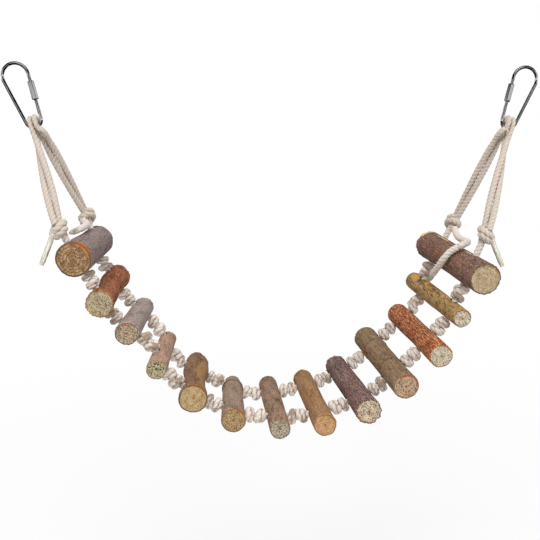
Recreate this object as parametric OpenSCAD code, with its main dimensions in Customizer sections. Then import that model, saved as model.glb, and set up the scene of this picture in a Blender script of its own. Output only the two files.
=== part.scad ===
// Rope ladder bird toy: drilled natural branches threaded on two knotted cotton ropes,
// hung at each end from a pear-shaped wire link with a screw sleeve. Millimetres.
// +Z is up, +X runs from the left link to the right link, +Y is away from the viewer.
// The origin is the inside of the left link's upper bow, where a cage bar bears.

/* [Hanging curve] */
// Distance across between the two links
link_span = 362; // [350:1:374]
// Depth of the lowest rope bend below the left link's eye
ladder_depth = 272; // [264:1:284]
// Depth of the right link's lower bow below the left link's eye
right_drop = 45.5; // [42:0.5:48]

/* [Ropes] */
// Diameter of the two cotton ropes
rope_d = 5.4; // [4.6:0.1:5.8]
// Distance between the front rope and the back rope
rope_spacing = 64; // [54:1:70]
// Diameter of the knots between the perches
knot_d = 10.8; // [8.5:0.1:12]
// Diameter of the four end knots
end_knot_d = 14.6; // [12:0.2:16]
// Length of an end knot along its rope
end_knot_l = 13; // [10:0.5:15]

/* [Perches] */
// Diameter of the thickest perch, which sets the scale of all the perches' thickness
thickest_perch = 25.5; // [23:0.1:26]
// Longest overhang of a perch past a rope, which sets the scale of all the overhangs
longest_overhang = 33; // [28:0.5:38]
// Room between a rope and the wall of its hole
hole_clear = 1; // [0.6:0.1:1.2]
// Gap between a knot and the bark
knot_clear = 0.4; // [0.3:0.1:0.6]
// Chamfer on the cut ends of the perches
end_chamfer = 0.8; // [0.3:0.1:1.5]

/* [Links] */
// Diameter of the link wire
wire_d = 2.4; // [2:0.1:2.8]
// Outside length of a link
link_l = 50; // [46:0.5:56]
// Outside width of the wide upper bow
upper_bow_w = 21; // [18:0.2:24]
// Outside width of the narrow lower bow
lower_bow_w = 14; // [13.6:0.1:16]
// Length of the screw sleeve
sleeve_l = 13.4; // [11:0.2:15]
// Width of the screw sleeve across its flats
sleeve_w = 4.4; // [4:0.1:6]
// Height of the sleeve's lower end above the middle of the lower bow
sleeve_h = 13.4; // [12:0.2:16]
// Gap in the wire that the sleeve closes
wire_gap = 4; // [3:0.5:5]
// Screw engagement of the sleeve above that gap
sleeve_grip = 3.5; // [2.5:0.5:4.5]
// Room between the wire and the sleeve's bore
sleeve_clear = 0.15; // [0.1:0.05:0.3]

/* [Tails] */
// Length of clear tape round each free end of the back rope
tape_l = 9; // [6:1:12]
// Length of clear tape round each free end of the front rope
front_tape_l = 15; // [10:1:16]
// Thickness of the clear tape
tape_t = 0.4; // [0.2:0.1:0.6]

/* [Hidden] */
perch_count = 13;
$fn = 48;

// One row for each perch: diameter beside a thickest of 25.5, overhang in front of the front rope
// and behind the back rope beside a longest of 33, bark colour, and the share of the diameter
// from the front end to the back end.
PERCHES = [
    [25.5, 10, 11, "#7f7478", [1.00, 0.98, 0.96, 0.95, 0.94]],
    [19.8, 16, 17, "#8a4a38", [1.00, 0.93, 0.87, 0.97, 1.03]],
    [17.0, 18, 17, "#857a77", [1.00, 1.00, 0.99, 1.00, 1.01]],
    [14.5, 29, 12, "#a07a68", [1.00, 1.00, 0.98, 0.97, 0.96]],
    [21.3, 15, 20, "#5d4236", [1.00, 0.83, 0.79, 1.00, 0.92]],
    [18.2, 25, 10, "#80695a", [1.00, 0.95, 0.92, 0.93, 0.96]],
    [15.4, 28, 24, "#876d60", [1.00, 1.00, 1.02, 1.04, 1.05]],
    [17.0, 28, 18, "#9a6b45", [1.00, 0.97, 0.96, 0.98, 1.00]],
    [19.2, 30, 14, "#76605c", [1.00, 0.97, 0.95, 0.96, 0.96]],
    [19.2, 29, 22, "#7d6a50", [1.00, 0.99, 1.02, 1.05, 1.06]],
    [17.2, 33, 12, "#9a4a2c", [1.00, 1.00, 1.00, 1.03, 1.05]],
    [13.7, 23, 21, "#7a6138", [1.00, 1.04, 1.08, 1.10, 1.10]],
    [23.2, 27, 21, "#7c5f57", [1.00, 1.00, 1.00, 1.02, 1.04]]
];
// Where each rope bends, across and down from the left link's eye: above the first end knot,
// between each perch and the next, and above the last end knot
FRONT_BENDS = [
    [30, 110.5], [52, 153.5], [67, 182], [91.5, 202], [106.5, 232], [137, 253.5], [168, 265],
    [201, 267.5], [235, 260.5], [264.5, 246.5], [289.5, 224.5], [313, 200], [327, 175],
    [348, 124]
];
BACK_BENDS = [
    [38, 108], [50.5, 153.5], [67.5, 182.5], [91, 207], [107.5, 238.5], [137, 256.5],
    [168.5, 272], [201, 270], [232, 262], [260, 246.5], [288.5, 220.5], [313, 197.5], [323, 167],
    [347, 122.5]
];
// How far along its stretch of the front and back rope each perch sits
SHARES = [
    [0.62, 0.60], [0.53, 0.48], [0.47, 0.48], [0.49, 0.47], [0.54, 0.50], [0.49, 0.50],
    [0.53, 0.51], [0.50, 0.50], [0.48, 0.50], [0.51, 0.52], [0.53, 0.50], [0.52, 0.49],
    [0.36, 0.36]
];

rope_colour = "#d9cbb4";
steel_colour = "#c9ccd0";
tape_colour = "#e8ead8";

rope_r = rope_d / 2;
wire_r = wire_d / 2;
crease = 0.9;
tube_sides = 12;
knot_steps = 6;
profile_steps = 24;

function unit(v) = v / norm(v);
function lerp(a, b, t) = a + (b - a) * t;
function perch_d(i) = PERCHES[i][0] * thickest_perch / 25.5;
function overhang(i, side) = PERCHES[i][side < 0 ? 1 : 2] * longest_overhang / 33;
function perch_l(i) = overhang(i, -1) + rope_spacing + overhang(i, 1);
function perch_mid(i) = (overhang(i, 1) - overhang(i, -1)) / 2;

// The ropes: a side is -1 for the front rope and 1 for the back one
function bend_at(k, side) = let (p = side < 0 ? FRONT_BENDS[k] : BACK_BENDS[k])
    [p[0] * link_span / 362, side * rope_spacing / 2, -p[1] * ladder_depth / 272];
function rope_line(i, side) = bend_at(i + 1, side) - bend_at(i, side);
function rope_dir(i, side) = unit(rope_line(i, side));
function rope_turn(i, side) = [0, -atan2(rope_dir(i, side)[2], rope_dir(i, side)[0]), 0];
function hole_share(i, side) = SHARES[i][side < 0 ? 0 : 1];
function rope_before(i, side) = norm(rope_line(i, side)) * hole_share(i, side);
function rope_after(i, side) = norm(rope_line(i, side)) * (1 - hole_share(i, side));
function hole_at(i, side) = bend_at(i, side) + rope_line(i, side) * hole_share(i, side);

// Each perch lies along the line between its two holes
function perch_at(i) = (hole_at(i, -1) + hole_at(i, 1)) / 2;
function perch_axis(i) = unit(hole_at(i, 1) - hole_at(i, -1));
function perch_turn(i) = let (a = perch_axis(i)) [asin(a[2]), 0, -atan2(a[0], a[1])];
function perch_out(i) = unit(rope_dir(i, -1) + rope_dir(i, 1));
function perch_in(i) = perch_out(i)[0] * [0, 0, 1] - perch_out(i)[2] * [1, 0, 0];

// Radius of a perch at a distance along it from its middle, smooth between its five stations
function share_at(list, t) = let (k = min(3, floor(t)), f = (1 - cos(180 * (t - k))) / 2)
    lerp(list[k], list[k + 1], f);
function perch_r(i, y) = perch_d(i) / 2
    * share_at(PERCHES[i][4], 4 * min(1, max(0, (y - perch_mid(i)) / perch_l(i) + 0.5)));
// Where a knot starts: past the highest bark under it, with the perch's slant across the knot
function bark_r(i, side) = max([for (k = [-1, 0, 1])
    perch_r(i, side * rope_spacing / 2 + k * knot_d / 2)]);
function slant(i, side) = perch_axis(i) * rope_dir(i, side);
function knot_start(i, side) = bark_r(i, side) / sqrt(1 - pow(slant(i, side), 2))
    + knot_d / 2 * abs(slant(i, side)) + knot_clear;

// The links, each in its own frame: the lower bow's middle is the origin, the eye opens upwards
upper_r = (upper_bow_w - wire_d) / 2;
lower_r = (lower_bow_w - wire_d) / 2;
bow_gap = link_l - wire_d - upper_r - lower_r;
leg_lean = asin((upper_r - lower_r) / bow_gap);
leg_l = bow_gap * cos(leg_lean);
left_lean = 18;
right_lean = 20;
eye_h = bow_gap + upper_r - wire_r;
function link_lean(end) = end < 0 ? left_lean : right_lean;
function link_dir(end) = [end * sin(link_lean(end)), 0, cos(link_lean(end))];
function link_side(end) = [link_dir(end)[2], 0, -link_dir(end)[0]];
function link_at(end) = end < 0 ? -link_dir(-1) * eye_h
    : [link_span + eye_h * sin(left_lean), 0, -right_drop];
function link_turn(end) = [0, end * link_lean(end), 0];

// The loops: each rope turns back over its link's lower bow, squeezed where it passes the wire
squeeze_w = 1.7;
squeeze_h = 3.1;
loop_room = 1;
loop_apart = squeeze_w + 0.25;
strand_apart = rope_r + 0.25;
turn_r = wire_r + loop_room + squeeze_h;
turn_lift = 0.8;
twist = 90;
leg_rings = 6;
turn_rings = 6;
knot_bite = 4;
function loop_out(end, side) = -side * end * loop_apart;
function loop_wire(end, side) = link_at(end) + link_side(end) * loop_out(end, side)
    - link_dir(end) * sqrt(pow(lower_r, 2) - pow(loop_apart, 2));
function knot_top(end, side) = bend_at(end < 0 ? 0 : perch_count, side);
function knot_dir(end, side) = rope_dir(end < 0 ? 0 : perch_count - 1, side);

// A tube along rings [middle, half width, half height], all turned to one side vector
function ring_way(path, k) = unit(path[min(k + 1, len(path) - 1)][0] - path[max(k - 1, 0)][0]);
function ring_points(ring, way, side) = let (u = unit(side - way * (side * way)), v = cross(way, u))
    [for (a = [0:tube_sides - 1]) ring[0] + u * ring[1] * cos(a * 360 / tube_sides)
        + v * ring[2] * sin(a * 360 / tube_sides)];
module tube(path, side) {
    n = tube_sides;
    last = len(path) - 1;
    points = [for (k = [0:last]) each ring_points(path[k], ring_way(path, k), side)];
    walls = [for (k = [0:last - 1], a = [0:n - 1]) let (b = (a + 1) % n) each [
        [k * n + a, (k + 1) * n + a, (k + 1) * n + b],
        [k * n + a, (k + 1) * n + b, k * n + b]
    ]];
    caps = [for (a = [1:n - 2]) each [[0, a, a + 1], [last * n, last * n + a + 1, last * n + a]]];
    polyhedron(points, concat(walls, caps), convexity = 8);
}

// Tail routes by hand: the front ones from the middle of their end knot along X, Y and Z, the
// back ones from the middle of the perch below: out along the rope, along Y and to the inside
LEFT_FRONT_TAIL = [
    [-3.8, -3.6, -2.5], [-6, -4.5, -9], [-9.5, -5.25, -17], [-13, -6, -25]
];
RIGHT_FRONT_TAIL = [
    [3.8, -3.6, -2.5], [5, -4.5, -8], [8.25, -5.25, -16], [11.5, -6, -24]
];
LEFT_BACK_TAIL = [
    [21, 26.2, 1], [18.3, 20.5, 3.5], [16.7, 12, 5], [16.4, 2, 5], [16.3, -7, 4], [16.4, -14, 2],
    [16.8, -21, 0]
];
RIGHT_BACK_TAIL = [
    [24, 26.2, 0], [20.5, 19, 0], [18, 10, 0], [17.2, -1, 0], [17, -11, 0.5], [15.3, -18.5, 3.8],
    [11.2, -21.5, 8.5], [5, -20.5, 12.8], [-2.5, -18, 14.4], [-9.5, -12, 13.2], [-15.5, -4, 11.2],
    [-20, 3.5, 9], [-24.2, 10.5, 6.8]
];
function knot_mid(end, side) = knot_top(end, side) - end * knot_dir(end, side) * end_knot_l / 2;
function front_tail(end, route) = [for (p = route) knot_mid(end, -1) + p];
function back_tail(end, route) = let (i = end < 0 ? 0 : perch_count - 1)
    [for (p = route) perch_at(i) + end * perch_out(i) * p[0] + [0, p[1], 0] + perch_in(i) * p[2]];

module on_rope(i, side) {
    translate(hole_at(i, side)) rotate(rope_turn(i, side)) children();
}

// A knot's outline from its start to its end, a rounded barrel on the rope: radius and place
function barrel(start, end, r, power, steps) = [for (k = [0:steps]) let (t = k / steps)
    [rope_r + (r - rope_r) * pow(1 - pow(abs(2 * t - 1), power), 1 / power), lerp(start, end, t)]];

// The stretch of one rope through a perch, with the knots on its two sides: radius and place
// along it from the hole
function rope_rows(i, side) = let (
        last = perch_count - 1,
        start = knot_start(i, side),
        low = -rope_before(i, side),
        high = rope_after(i, side)
    ) concat(
        i == 0 ? [[rope_r, low + end_knot_l / 2], [rope_r, -start]]
            : concat([[rope_r, low]], barrel(low + crease, -start, knot_d / 2, 3, knot_steps)),
        i == last ? [[rope_r, start], [rope_r, high - end_knot_l / 2]]
            : barrel(start, high - crease, knot_d / 2, 3, knot_steps)
    );

module rope_run(side) {
    rings = [for (i = [0:perch_count - 1]) for (row = rope_rows(i, side))
        [hole_at(i, side) + rope_dir(i, side) * row[1], row[0], row[0]]];
    color(rope_colour) tube(rings, [0, 1, 0]);
}

module end_knot(end, side) {
    i = end < 0 ? 0 : perch_count - 1;
    outline = concat([[0, 0]], barrel(0, end_knot_l, end_knot_d / 2, 2.4, 8), [[0, end_knot_l]]);
    color(rope_colour) translate(knot_top(end, side)) rotate(rope_turn(i, side))
        rotate([0, -end * 90, 0]) rotate_extrude() polygon(outline);
}

module loop(end, side) {
    wire = loop_wire(end, side);
    foot = knot_top(end, side) - end * knot_dir(end, side) * knot_bite;
    down = unit(foot - wire);
    over = unit(cross(link_side(end), down));
    across = cross(down, over);
    half = function (t) lerp(turn_r, strand_apart, min(1, t * 4));
    wide = function (t) lerp(squeeze_w, rope_r, min(1, max(0, t * 6 - 0.5)));
    high = function (t) lerp(squeeze_h, rope_r, min(1, t * 4));
    leg = function (way) [for (k = [0:leg_rings]) let (t = pow(k / leg_rings, 1.5))
        [lerp(wire, foot, t) + way * half(t) * (over * cos(twist * t) + end * across * sin(twist * t)),
            wide(t), high(t)]];
    turn = [for (k = [1:turn_rings - 1]) let (a = 180 * k / turn_rings)
        [wire - down * (turn_lift + turn_r) * sin(a) + over * turn_r * cos(a),
            squeeze_w, squeeze_h]];
    up = leg(1);
    color(rope_colour) tube(concat([for (k = [leg_rings:-1:0]) up[k]], turn, leg(-1)), link_side(end));
}

module tail(points) {
    color(rope_colour) tube([for (p = points) [p, rope_r, rope_r]], [0, 0.2, 1]);
}

// Clear tape: a thin band wound round the last straight stretch of a tail
module tail_tape(points, l) {
    tip = points[len(points) - 1];
    way = unit(points[len(points) - 2] - tip);
    tape_r = rope_r + 0.05;
    color(tape_colour, 0.6) translate(tip) rotate([0, acos(way[2]), atan2(way[1], way[0])])
        difference() {
            cylinder(h = l, r = tape_r + tape_t);
            translate([0, 0, -1]) cylinder(h = l + 2, r = tape_r);
        }
}

// The wire of a link in its own frame, from above the sleeve's gap round to below it
gap_top = sleeve_h + sleeve_l - sleeve_grip;
upper_rings = 18;
lower_rings = 14;
function leg_at(way, d) = [way * (lower_r * cos(leg_lean) + d * sin(leg_lean)), 0,
    d * cos(leg_lean) - lower_r * sin(leg_lean)];
function link_wire(way) = concat(
    [leg_at(way, gap_top)],
    [for (k = [0:upper_rings]) let (a = lerp(-leg_lean, 180 + leg_lean, k / upper_rings))
        [way * upper_r * cos(a), 0, bow_gap + upper_r * sin(a)]],
    [for (k = [0:lower_rings]) let (a = lerp(leg_lean, 180 - leg_lean, k / lower_rings))
        [-way * lower_r * cos(a), 0, -lower_r * sin(a)]],
    [leg_at(way, gap_top - wire_gap)]
);
module link(end) {
    color(steel_colour) translate(link_at(end)) rotate(link_turn(end))
        tube([for (p = link_wire(-end)) [p, wire_r, wire_r]], [0, 1, 0]);
}

module sleeve(end) {
    edge = 0.5;
    bore_r = wire_r + sleeve_clear;
    corner_r = sleeve_w / 2 / cos(30);
    color(steel_colour) translate(link_at(end)) rotate(link_turn(end)) rotate([90, 0, 0])
        rotate([0, 0, end * leg_lean]) translate([-end * lower_r, sleeve_h]) rotate([-90, 0, 0])
            difference() {
                intersection() {
                    cylinder(h = sleeve_l, r = corner_r, $fn = 6);
                    rotate_extrude() polygon([
                        [0, 0], [corner_r - edge, 0], [corner_r, edge],
                        [corner_r, sleeve_l - edge], [corner_r - edge, sleeve_l], [0, sleeve_l]
                    ]);
                }
                translate([0, 0, -1]) cylinder(h = sleeve_l + 2, r = bore_r);
            }
}

module perch(i) {
    l = perch_l(i);
    low = perch_mid(i) - l / 2;
    high = perch_mid(i) + l / 2;
    barked = [for (k = [0:profile_steps])
        let (y = lerp(low + end_chamfer, high - end_chamfer, k / profile_steps)) [perch_r(i, y), y]];
    color(PERCHES[i][3]) difference() {
        translate(perch_at(i)) rotate(perch_turn(i)) rotate([-90, 0, 0]) rotate_extrude()
            polygon(concat(
                [[0, low], [perch_r(i, low) - end_chamfer, low]], barked,
                [[perch_r(i, high) - end_chamfer, high], [0, high]]
            ));
        for (side = [-1, 1]) on_rope(i, side) translate([-perch_d(i), 0, 0]) rotate([0, 90, 0])
            cylinder(h = 2 * perch_d(i), r = rope_r + hole_clear);
    }
}

link(-1);  // left_link
link(1);  // right_link
sleeve(-1);  // left_sleeve
sleeve(1);  // right_sleeve
rope_run(-1);  // front_rope
rope_run(1);  // back_rope
loop(-1, -1);  // left_front_loop
loop(-1, 1);  // left_back_loop
loop(1, -1);  // right_front_loop
loop(1, 1);  // right_back_loop
end_knot(-1, -1);  // left_front_knot
end_knot(-1, 1);  // left_back_knot
end_knot(1, -1);  // right_front_knot
end_knot(1, 1);  // right_back_knot
tail(front_tail(-1, LEFT_FRONT_TAIL));  // left_front_tail
tail(back_tail(-1, LEFT_BACK_TAIL));  // left_back_tail
tail(front_tail(1, RIGHT_FRONT_TAIL));  // right_front_tail
tail(back_tail(1, RIGHT_BACK_TAIL));  // right_back_tail
tail_tape(front_tail(-1, LEFT_FRONT_TAIL), front_tape_l);  // left_front_tape
tail_tape(back_tail(-1, LEFT_BACK_TAIL), tape_l);  // left_back_tape
tail_tape(front_tail(1, RIGHT_FRONT_TAIL), front_tape_l);  // right_front_tape
tail_tape(back_tail(1, RIGHT_BACK_TAIL), tape_l);  // right_back_tape
perch(0);  // perch_01
perch(1);  // perch_02
perch(2);  // perch_03
perch(3);  // perch_04
perch(4);  // perch_05
perch(5);  // perch_06
perch(6);  // perch_07
perch(7);  // perch_08
perch(8);  // perch_09
perch(9);  // perch_10
perch(10);  // perch_11
perch(11);  // perch_12
perch(12);  // perch_13
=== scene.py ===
"""Looks of a rope ladder: bark-covered branch perches on knotted cotton ropes, hung from two wire links.

Shapes are worked out in millimetres in the part's own frame and put into meshes in metres.
+Z is up, +X runs from the left link to the right link and +Y is away from the viewer.
"""

from __future__ import annotations

import logging
from dataclasses import dataclass, field
from enum import Enum

import bpy
import numpy as np
from mathutils import Matrix

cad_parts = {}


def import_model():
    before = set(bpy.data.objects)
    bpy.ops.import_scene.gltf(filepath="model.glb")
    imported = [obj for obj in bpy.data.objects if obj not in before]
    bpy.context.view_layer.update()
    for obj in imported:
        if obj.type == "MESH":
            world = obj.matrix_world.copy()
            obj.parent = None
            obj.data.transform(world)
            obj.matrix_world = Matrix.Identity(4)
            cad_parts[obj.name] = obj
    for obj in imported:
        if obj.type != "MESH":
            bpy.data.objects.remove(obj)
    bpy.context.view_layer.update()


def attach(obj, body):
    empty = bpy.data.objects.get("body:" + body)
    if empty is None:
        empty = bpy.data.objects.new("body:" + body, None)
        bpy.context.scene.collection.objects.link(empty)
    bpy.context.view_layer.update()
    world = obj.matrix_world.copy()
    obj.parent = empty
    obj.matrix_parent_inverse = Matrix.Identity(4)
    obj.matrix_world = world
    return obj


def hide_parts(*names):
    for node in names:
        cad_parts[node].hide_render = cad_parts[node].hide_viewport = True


LOG = logging.getLogger("rope_ladder")
MM = 0.001
DEPTH = np.array([0.0, 1.0, 0.0])
WHITE = (1.0, 1.0, 1.0, 1.0)
SMOOTH = {"interpolation_type": "SMOOTHSTEP"}
Array = np.ndarray
Pair = tuple[float, float]
Vector = tuple[float, float, float]
Colour = tuple[float, float, float, float]
Tree = bpy.types.NodeTree
Socket = bpy.types.NodeSocket
Material = bpy.types.Material
Mesh = bpy.types.Mesh
Piece = bpy.types.Object


class Side(Enum):
    """The two ropes, by the sign of their Y."""

    FRONT = -1
    BACK = 1


class End(Enum):
    """The two ends of the ladder, by the sign of their X from the middle."""

    LEFT = -1
    RIGHT = 1


class MarkKind(Enum):
    """What a mark on a branch does to its bark."""

    RIDGE = "ridge all round"
    CREASE = "groove all round"
    HOLLOW = "pit in the bark"
    NUB = "small bump"
    PATCH = "colour only"
    DARK = "dark colour only"
    SPLIT = "open split along the bark"


# Vectors and paths


def unit(v: Array) -> Array:
    """Vectors along the last axis, each divided by its length."""
    v = np.asarray(v, float)
    return v / np.maximum(np.linalg.norm(v, axis=-1, keepdims=True), 1e-12)


def lerp(a: Array | float, b: Array | float, t: Array | float) -> Array | float:
    """The straight blend from a to b at share t."""
    return a + (b - a) * t


def smooth_step(t: Array) -> Array:
    """3t^2 - 2t^3 on t held between 0 and 1."""
    t = np.clip(t, 0.0, 1.0)
    return t * t * (3 - 2 * t)


def resample(points: Array, spacing: float) -> Array:
    """Even steps along a line of points.

    Args:
        points: The line's points, one row each.
        spacing: The wanted step in the points' units.

    Returns:
        The points at even arc length, the first and last kept.
    """
    s = along(points)
    q = np.linspace(0.0, s[-1], max(3, int(round(s[-1] / spacing)) + 1))
    return np.stack([np.interp(q, s, points[:, k]) for k in range(points.shape[1])], 1)


def through(points: Array, spacing: float) -> Array:
    """A smooth line through the points: each span is a cubic whose end slopes are half the chord
    between the two neighbours, then the whole is stepped evenly.

    Args:
        points: The points to pass through.
        spacing: The step of the result.

    Returns:
        The stepped line.
    """
    p = np.asarray(points, float)
    ends = np.concatenate([[2 * p[0] - p[1]], p, [2 * p[-1] - p[-2]]])
    slope = (ends[2:] - ends[:-2]) / 2
    t = np.linspace(0.0, 1.0, 25)[:-1][None, :, None]
    a, b, m, n = p[:-1, None], p[1:, None], slope[:-1, None], slope[1:, None]
    spans = (2 * t**3 - 3 * t**2 + 1) * a + (t**3 - 2 * t**2 + t) * m
    spans = spans + (3 * t**2 - 2 * t**3) * b + (t**3 - t**2) * n
    return resample(np.concatenate([spans.reshape(-1, p.shape[1]), p[-1:]]), spacing)


def along(path: Array) -> Array:
    """Arc length from the first point to each point of a path."""
    return np.concatenate([[0.0], np.cumsum(np.linalg.norm(np.diff(path, axis=0), axis=1))])


def angles(count: int) -> Array:
    """Even angles round a circle, in radians."""
    return np.linspace(0, 2 * np.pi, count, endpoint=False)


def carried_frames(path: Array) -> tuple[Array, Array]:
    """Two side vectors at each point of a path, carried along it without twist.

    A fixed vector laid square to the path gives a first frame. The angle by which that frame turns
    against the least rotation from point to point is summed up and taken out again.

    Args:
        path: Points of the path.

    Returns:
        The two side vectors at each point.
    """
    way = unit(np.gradient(path, axis=0))
    ref = unit(np.array([0.31, 0.52, 0.79]))
    n = unit(ref - (way @ ref)[:, None] * way)
    b = np.cross(way, n)
    axis = np.cross(way[:-1], way[1:])
    cosine = np.sum(way[:-1] * way[1:], axis=1)[:, None]
    lifted = np.cross(axis, n[:-1])
    moved = n[:-1] + lifted + np.cross(axis, lifted) / (1 + cosine)
    step = np.arctan2(np.sum(moved * b[1:], axis=1), np.sum(moved * n[1:], axis=1))
    turn = np.concatenate([[0.0], np.cumsum(step)])[:, None]
    u = n * np.cos(turn) + b * np.sin(turn)
    return u, np.cross(way, u)


def square_frames(path: Array, side: Array) -> tuple[Array, Array]:
    """Two side vectors at each point of a path, the first as near to a given vector as it can be.

    Args:
        path: Points of the path.
        side: The wanted vector.

    Returns:
        The two side vectors at each point.
    """
    way = unit(np.gradient(path, axis=0))
    u = unit(side - (way @ side)[:, None] * way)
    return u, np.cross(way, u)


def ripples(
    theta: Array,
    y: Array,
    seed: int,
    turns: tuple[int, int],
    length: float,
    count: int = 24,
) -> Array:
    """Smooth uneven height round and along a branch: a sum of sine waves that close round it, with
    seeded phases, turns between two limits and wavelengths down to a length, about -1 to 1 high.

    Args:
        theta: Angles in radians.
        y: Distances along, in millimetres.
        seed: Fixes the draw.
        turns: Fewest and most waves round the branch.
        length: Shortest wave along it.
        count: Number of waves.

    Returns:
        The height at each point.
    """
    draw = np.random.default_rng(seed)
    around = draw.integers(turns[0], turns[1] + 1, count)
    waves = draw.uniform(0.05, 1.0, count) * 2 * np.pi / length * draw.choice([-1, 1], count)
    phase = draw.uniform(0, 2 * np.pi, count)
    size = 1.0 / np.sqrt(around)
    total = np.zeros(theta.shape)
    for k in range(count):
        total += np.sin(theta * around[k] + y * waves[k] + phase[k]) * size[k]
    return total / np.sqrt((size**2).sum() / 2) / 2


def crevice(
    points: Array,
    path: Array,
    size: Array,
    skip: float = 9.0,
    gap: float = 0.16,
    block: int = 48,
) -> Array:
    """How close each point of a tube lies to another stretch of the same tube, for painted shade there.

    The gap is the distance to the nearest middle point of that stretch less the tube's half size
    there. The result is 1 where they touch and falls to 0 at a gap that is a share of the half size.

    Args:
        points: The tube's points, rings by sides by 3.
        path: Its middle line, one row for each ring.
        size: Its half size at each ring.
        skip: Stretches nearer than this along the path don't count.
        gap: The gap at which the result is 0, as a share of the half size.
        block: Rings that are worked out at once.

    Returns:
        Shares, rings by sides.
    """
    s = along(path)
    sides = points.shape[1]
    gaps = []
    for low in range(0, len(path), block):
        some = points[low : low + block].reshape(-1, 3)
        square = (some**2).sum(1)[:, None] + (path**2).sum(1)[None] - 2 * some @ path.T
        far = np.repeat(np.abs(s[low : low + block, None] - s[None]) > skip, sides, 0)
        clear = np.where(far, np.sqrt(np.maximum(square, 0)) - size[None], np.inf)
        gaps.append(clear.min(1).reshape(-1, sides))
    return smooth_step(1 - np.concatenate(gaps) / (gap * size[:, None]))


# Meshes


@dataclass
class Grid:
    """A surface of rings of points, closed round each ring.

    Its faces point outwards where each ring turns to the left about the way from ring to ring, as
    seen against that way.

    Attributes:
        points: Rings by sides by 3, in millimetres.
        closed: True if the last ring joins the first, as on a ring-shaped piece.
        marks: Named values at each point, rings by sides or rings by sides by 3.
        zones: Material index of each band between two rings.
        v: Distance along at each ring for the UV map, in millimetres.
    """

    points: Array
    closed: bool = False
    marks: dict[str, Array] = field(default_factory=dict)
    zones: Array | None = None
    v: Array | None = None

    def faces(self) -> tuple[Array, Array]:
        """The faces as point numbers.

        Returns:
            Quads between the rings, and fans of triangles that close the two ends.
        """
        rings, sides = self.points.shape[:2]
        i = np.arange(rings if self.closed else rings - 1)[:, None]
        j = np.arange(sides)[None, :]
        after = (i + 1) % rings
        right = (j + 1) % sides
        ring, later = i * sides, after * sides
        quads = np.stack([ring + j, ring + right, later + right, later + j], -1)
        if self.closed:
            return quads.reshape(-1, 4), np.zeros((0, 3), int)
        j, right = j[0], right[0]
        first, last = rings * sides, rings * sides + 1
        base = (rings - 1) * sides
        fan = np.concatenate([
            np.stack([np.full(sides, first), right, j], 1),
            np.stack([np.full(sides, last), base + j, base + right], 1),
        ])
        return quads.reshape(-1, 4), fan

    def with_caps(self, values: Array) -> Array:
        """Point values as one list.

        Args:
            values: Values at each point, rings by sides, or by 3 as well.

        Returns:
            The list, with the means of the two end rings after it for the middles of the caps.
        """
        flat = values.reshape(-1, *values.shape[2:])
        if self.closed:
            return flat
        return np.concatenate([flat, values[:1].mean(1), values[-1:].mean(1)])

    def mesh(self, name: str) -> Mesh:
        """The surface as a mesh in metres, with its UV map, values and material zones.

        Args:
            name: The mesh's name.

        Returns:
            The mesh.
        """
        sides = self.points.shape[1]
        quads, fan = self.faces()
        corners = np.concatenate([quads.ravel(), fan.ravel()]).astype(np.int32)
        counts = np.concatenate([np.full(len(quads), 4), np.full(len(fan), 3)]).astype(np.int32)
        points = self.with_caps(self.points) * MM
        mesh = bpy.data.meshes.new(name)
        mesh.vertices.add(len(points))
        mesh.vertices.foreach_set("co", points.astype(np.float32).ravel())
        mesh.loops.add(len(corners))
        mesh.loops.foreach_set("vertex_index", corners)
        mesh.polygons.add(len(counts))
        starts = np.concatenate([[0], np.cumsum(counts)[:-1]]).astype(np.int32)
        mesh.polygons.foreach_set("loop_start", starts)
        mesh.polygons.foreach_set("use_smooth", np.ones(len(counts), bool))
        if self.zones is not None:
            zone = np.repeat(np.concatenate([self.zones, self.zones[[0, -1]]]), sides)
            mesh.polygons.foreach_set("material_index", zone.astype(np.int32))
        mesh.update(calc_edges=True)
        if self.v is not None:
            layer = mesh.uv_layers.new(name="UVMap")
            layer.data.foreach_set("uv", self.uv(len(fan)).astype(np.float32))
        for label, values in self.marks.items():
            kind, key = ("FLOAT_VECTOR", "vector") if values.ndim == 3 else ("FLOAT", "value")
            store = mesh.attributes.new(label, kind, "POINT")
            store.data.foreach_set(key, self.with_caps(values).astype(np.float32).ravel())
        mesh.validate()
        return mesh

    def uv(self, fans: int) -> Array:
        """Share round the ring and millimetres along, for each face corner.

        Args:
            fans: Number of triangles in the caps.

        Returns:
            The pairs as one row.
        """
        rings, sides = self.points.shape[:2]
        i = np.arange(rings - 1)[:, None] + np.zeros((1, sides), int)
        j = np.arange(sides)[None, :] + np.zeros((rings - 1, 1), int)
        u = np.stack([j, j + 1, j + 1, j], -1) / sides
        v = np.stack([self.v[i], self.v[i], self.v[i + 1], self.v[i + 1]], -1)
        quads = np.stack([u, v], -1).reshape(-1)
        return np.concatenate([quads, np.tile([0.5, 0.0], fans * 3)])


def into_scene(name: str, data: bpy.types.ID) -> Piece:
    """Puts a mesh, lamp or camera into the scene.

    Args:
        name: The object's name.
        data: What it shows.

    Returns:
        The new object, at the origin.
    """
    piece = bpy.data.objects.new(name, data)
    bpy.context.scene.collection.objects.link(piece)
    return piece


def place(mesh: Mesh, materials: list[Material], sharp: float = 45.0) -> Piece:
    """A mesh as an object at the origin, with its materials and its sharp edges.

    Args:
        mesh: The finished mesh.
        materials: One for each material index.
        sharp: Edges that turn by more than this many degrees stay sharp.

    Returns:
        The new object.
    """
    for material in materials:
        mesh.materials.append(material)
    mesh.set_sharp_from_angle(angle=np.radians(sharp))
    return into_scene(mesh.name, mesh)


def seat(piece: Piece, body: str, node: str) -> Piece:
    """Puts a piece on its body, in place of its CAD node, which it hides.

    Args:
        piece: The piece.
        body: The body that it rides on.
        node: The node that it stands in for.

    Returns:
        The same piece.
    """
    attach(piece, body)
    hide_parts(node)
    return piece


# Materials


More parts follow.
